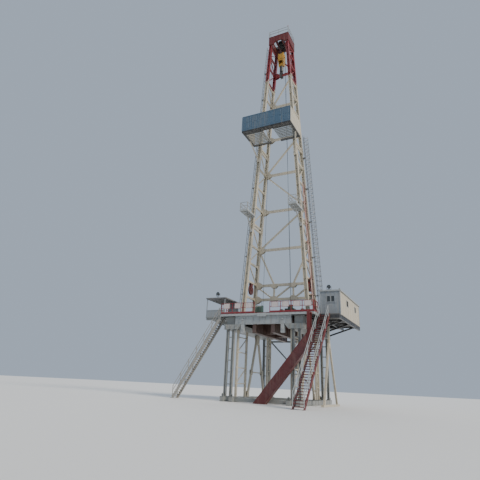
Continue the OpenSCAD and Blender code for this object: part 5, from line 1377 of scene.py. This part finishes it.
for s in (-1, 1):
    x = s * 0.24
    caps += [pad((x, y), (0.058, 0.03), 0.088, cap_z, 0.004) for y in (-0.13, 0.13)]
    caps += [pad((x, y), (0.05, 0.012), -0.06, 0.24, 0.003) for y in (-guard_y, guard_y)]
    caps.append(disc(s, 0.300, 0.318, (0, 0), 0.078))
    caps.append(rod((-0.28, s * guard_y, 0.20), (0.28, s * guard_y, 0.20), 0.016, 12))
    cap_bolts += [(x + dx, dy, cap_z) for dx in (-0.03, 0.03) for dy in (-0.13, 0.13)]
    cap_bolts += bolt_circle((s * 0.318, 0, 0), s, 0.055, 6)
finished("crown_bearings", caps, maroon_paint, at=(0, 0, shaft_z))
finished("crown_bolts", bolt(0.014, cap_bolts), dark_steel, at=(0, 0, shaft_z))
sheave_xs = spread(-0.12, 0.12, 5)


def groove_rims(offset, radius, thick):
    """The two rims of each sheave's groove."""
    return [ring((x + dx, 0, 0), (1, 0, 0), radius, thick)
            for x in sheave_xs for dx in (-offset, offset)]


finished("crown_sheave_rims", groove_rims(0.021, 0.292, 0.005), dark_steel, at=(0, 0, shaft_z))
bars = []
for start in (-0.62, 0.40):
    bars += [plate((0.11 - crown_x, y, -0.03), (crown_x - 0.11, y + 0.008, 0.004), 0)
             for y in [start + 0.035 * i for i in range(7)]]
    bars += [plate((x - 0.008, start, -0.036), (x + 0.008, start + 0.24, -0.010), 0)
             for x in (-0.6, -0.3, 0, 0.3, 0.6)]
finished("crown_gratings", bars, galvanized, at=(0, 0, crown_top))
post = joined([
    pad((0, 0), 0.035, 0, 0.014),
    pad((0, 0), 0.020, 0.28, 0.34, 0.004),
    pad((0, 0), 0.019, 0.535, 0.566, 0.004),
])
corner_x, corner_y = 0.78, 0.715
spots = [(x, y, 0.004) for x in (-corner_x, 0, corner_x) for y in (-corner_y, corner_y)]
spots += [(x, 0, 0.004) for x in (-corner_x, corner_x)]
finished("crown_rail_joints", copies(post, spots), pale_paint, at=(0, 0, crown_top))
beacon_glass = sprayed("beacon_glass", (0.42, 0.012, 0.010), gloss=0.12, rust=0.0, dust=0.1)
beacon_low, beacon_high = 26.842, 26.896
beacon = [rod((0, 0, beacon_low), (0, 0, beacon_high), 0.0315, 20, 0.006)]
beacon += [ring((0, 0, z), (0, 0, 1), 0.032, 0.003, 24)
           for z in (beacon_low + 0.014, beacon_high - 0.016)]
finished("beacon_glass", beacon, beacon_glass, at=(corner_x, -corner_y, 0))

# Travelling block: a stack of sheaves between two thick golden yellow side plates, with bolted
# bosses round its shaft, through bolts at its corners and guard sheets in front of and behind
# the sheaves.
yellow_paint = sprayed("yellow_paint", (0.62, 0.33, 0.020), gloss=0.35, rust=0.35, dust=0.4)
coat(yellow_paint, "travelling_block")
coat(dark_steel, "hook")
block_z, block_low = 24.6125, 23.6925
block_place, low = (0, 0, block_z), block_low - block_z
through_bolts = ((0.245, 0.10), (0.19, 0.27), (0.245, -0.26),
                 (0.245, -0.42), (0.17, -0.62), (0.08, -0.84))
bosses, block_bolts = [], []
for s in (-1, 1):
    bosses.append(disc(s, 0.188, 0.200, (0, 0), 0.135, 32))
    bosses.append(disc(s, 0.205, 0.228, (0, 0), 0.052, 6))
    bosses.append(pad((s * 0.173, 0), (0.023, 0.125), low + 0.01, low + 0.10, 0.004))
    block_bolts += bolt_circle((s * 0.200, 0, 0), s, 0.105, 8)
    block_bolts.append(facing((s * 0.190, 0, 0.30), (s, 0, 0)))
    for y, z in through_bolts:
        block_bolts += [facing((s * 0.190, side * y, z), (s, 0, 0)) for side in (-1, 1)]
for y in (-0.287, 0.287):
    bosses.append(pad((0, y), (0.160, 0.004), low + 0.56, 0.12, 0.003))
    bosses += [pad((x, y), (0.010, 0.008), low + 0.57, 0.11) for x in (-0.08, 0, 0.08)]
finished("block_bosses", bosses, yellow_paint, "hoisting_block", block_place)
finished("block_bolts", bolt(0.016, block_bolts), dark_steel, "hoisting_block", block_place)
rims = groove_rims(0.022, 0.253, 0.004)
finished("block_sheave_rims", rims, dark_steel, "hoisting_block", block_place)

# Hook: forged and bolted under the block on a sprung stem that swivels, with a safety latch over
# its bowl and a worn seat where the links hang.
bowl_z, latch_y, latch_z, stem_r = 22.8125, 0.215, 22.90, 0.140
hook = [rod((0, 0, block_low - z), (0, 0, block_low - z + 0.022), stem_r, 32, 0.004)
        for z in (0.05, 0.16, 0.27, 0.38, 0.50)]
hook.append(rod((0, 0, block_low - 0.64), (0, 0, block_low - 0.62), 0.105, 28, 0.004))
hook.append(ring((0, 0, bowl_z), (1, 0, 0), 0.152, 0.012, sides=8))
hook.append(rod((-0.092, -0.02, 23.10), (0.092, -0.02, 23.10), 0.045, 20, 0.004))
hook.append(rod((-0.078, latch_y, latch_z), (0.078, latch_y, latch_z), 0.020, 14, 0.002))
pins = []
for s in (-1, 1):
    hook.append(pad((s * 0.078, 0), (0.012, 0.07), 23.02, 23.18, 0.004))
    hook.append(rod((s * 0.066, 0.09, 23.06), (s * 0.066, latch_y, latch_z), 0.014, 10))
    for a in (-0.8, 0, 0.8):
        out = Vector((s * math.cos(a), math.sin(a), 0))
        pins.append(facing(out * stem_r + Vector((0, 0, block_low - 0.22)), out))
finished("hook_fittings", hook, dark_steel, "hoisting_block")
finished("hook_bolts", bolt(0.012, pins), yellow_paint, "hoisting_block")

# Lines: greased wire rope. Ten parts of the drilling line run between the crown's sheaves and the
# block's, the fast line comes down to the drum, and two light lines hang at the sides.
rope_tree = rope_steel.node_tree
strands = rope_tree.nodes.new("ShaderNodeTexWave")
strands.inputs["Scale"].default_value = 45
strands.inputs["Distortion"].default_value = 0
rope_tree.links.new(coordinates(rope_tree, turn=(0.6, 0.6, 0)), strands.inputs["Vector"])
raised(rope_steel, strands.outputs["Fac"], 0.002)
coat(rope_steel, "hoist_lines", "drilling_lines")
parts = [rod((x, s * 0.2903, shaft_z), (x, s * 0.2503, block_z), 0.010, 10)
         for x in sheave_xs for s in (-1, 1)]
lines = finished("drilling_line_parts", parts, rope_steel, body=None, smooth=40)
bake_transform(lines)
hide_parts("drilling_lines")
sockets = []
for s in (-1, 1):
    sockets.append(rod((s * 0.9, 0, 0), (s * 0.9, 0, 0.03), 0.05, 16, 0.003))
    sockets.append(rod((s * 0.899, 0, 0.03), (s * 0.897, -0.001, 0.16), 0.018, 12, 0.002))
finished("hoist_line_sockets", sockets, dark_steel, at=(0, -0.4, floor_z))

# Floodlights: black painted castings with cooling fins, in forked steel yokes bolted to the two
# roofs and turned up at the mast.
coat(black_paint, "floodlights")
lean_out, lamp_places = math.radians(70), ((-3.3625, -1.61, 5.90), (3.39, -1.21, 6.035))
aim = Vector((0, -math.sin(lean_out), math.cos(lean_out)))
housings, lenses, yokes, lamp_feet = [], [], [], []
for x, y, z in lamp_places:
    middle = Vector((x, y, z))
    for i in range(4):
        start = 0.022 * i - 0.058
        ends = middle + aim * start, middle + aim * (start + 0.008)
        housings.append(rod(*ends, 0.080 + 0.007 * i, 24, 0.001))
    housings.append(ring(middle + aim * 0.060, aim, 0.101, 0.006, 32))
    lenses.append(rod(middle + aim * 0.057, middle + aim * 0.0625, 0.094, 28))
    yokes.append(pad((x, y + 0.005), (0.125, 0.019), z - 0.135, z - 0.125))
    for s in (-1, 1):
        yokes.append(pad((x + s * 0.120, y + 0.005), (0.005, 0.019), z - 0.130, z + 0.02))
        yokes.append(rod((x + s * 0.085, y + 0.004, z), (x + s * 0.130, y + 0.004, z),
                         0.016, 12, 0.001))
    lamp_feet += [(x + dx, y + 0.01 + dy, z - 0.228)
                  for dx in (-0.045, 0.045) for dy in (-0.045, 0.045)]
finished("floodlight_housings", housings, black_paint)
finished("floodlight_lenses", lenses, glass)
finished("floodlight_yokes", yokes, black_paint)
finished("floodlight_bolts", bolt(0.008, lamp_feet), dark_steel)
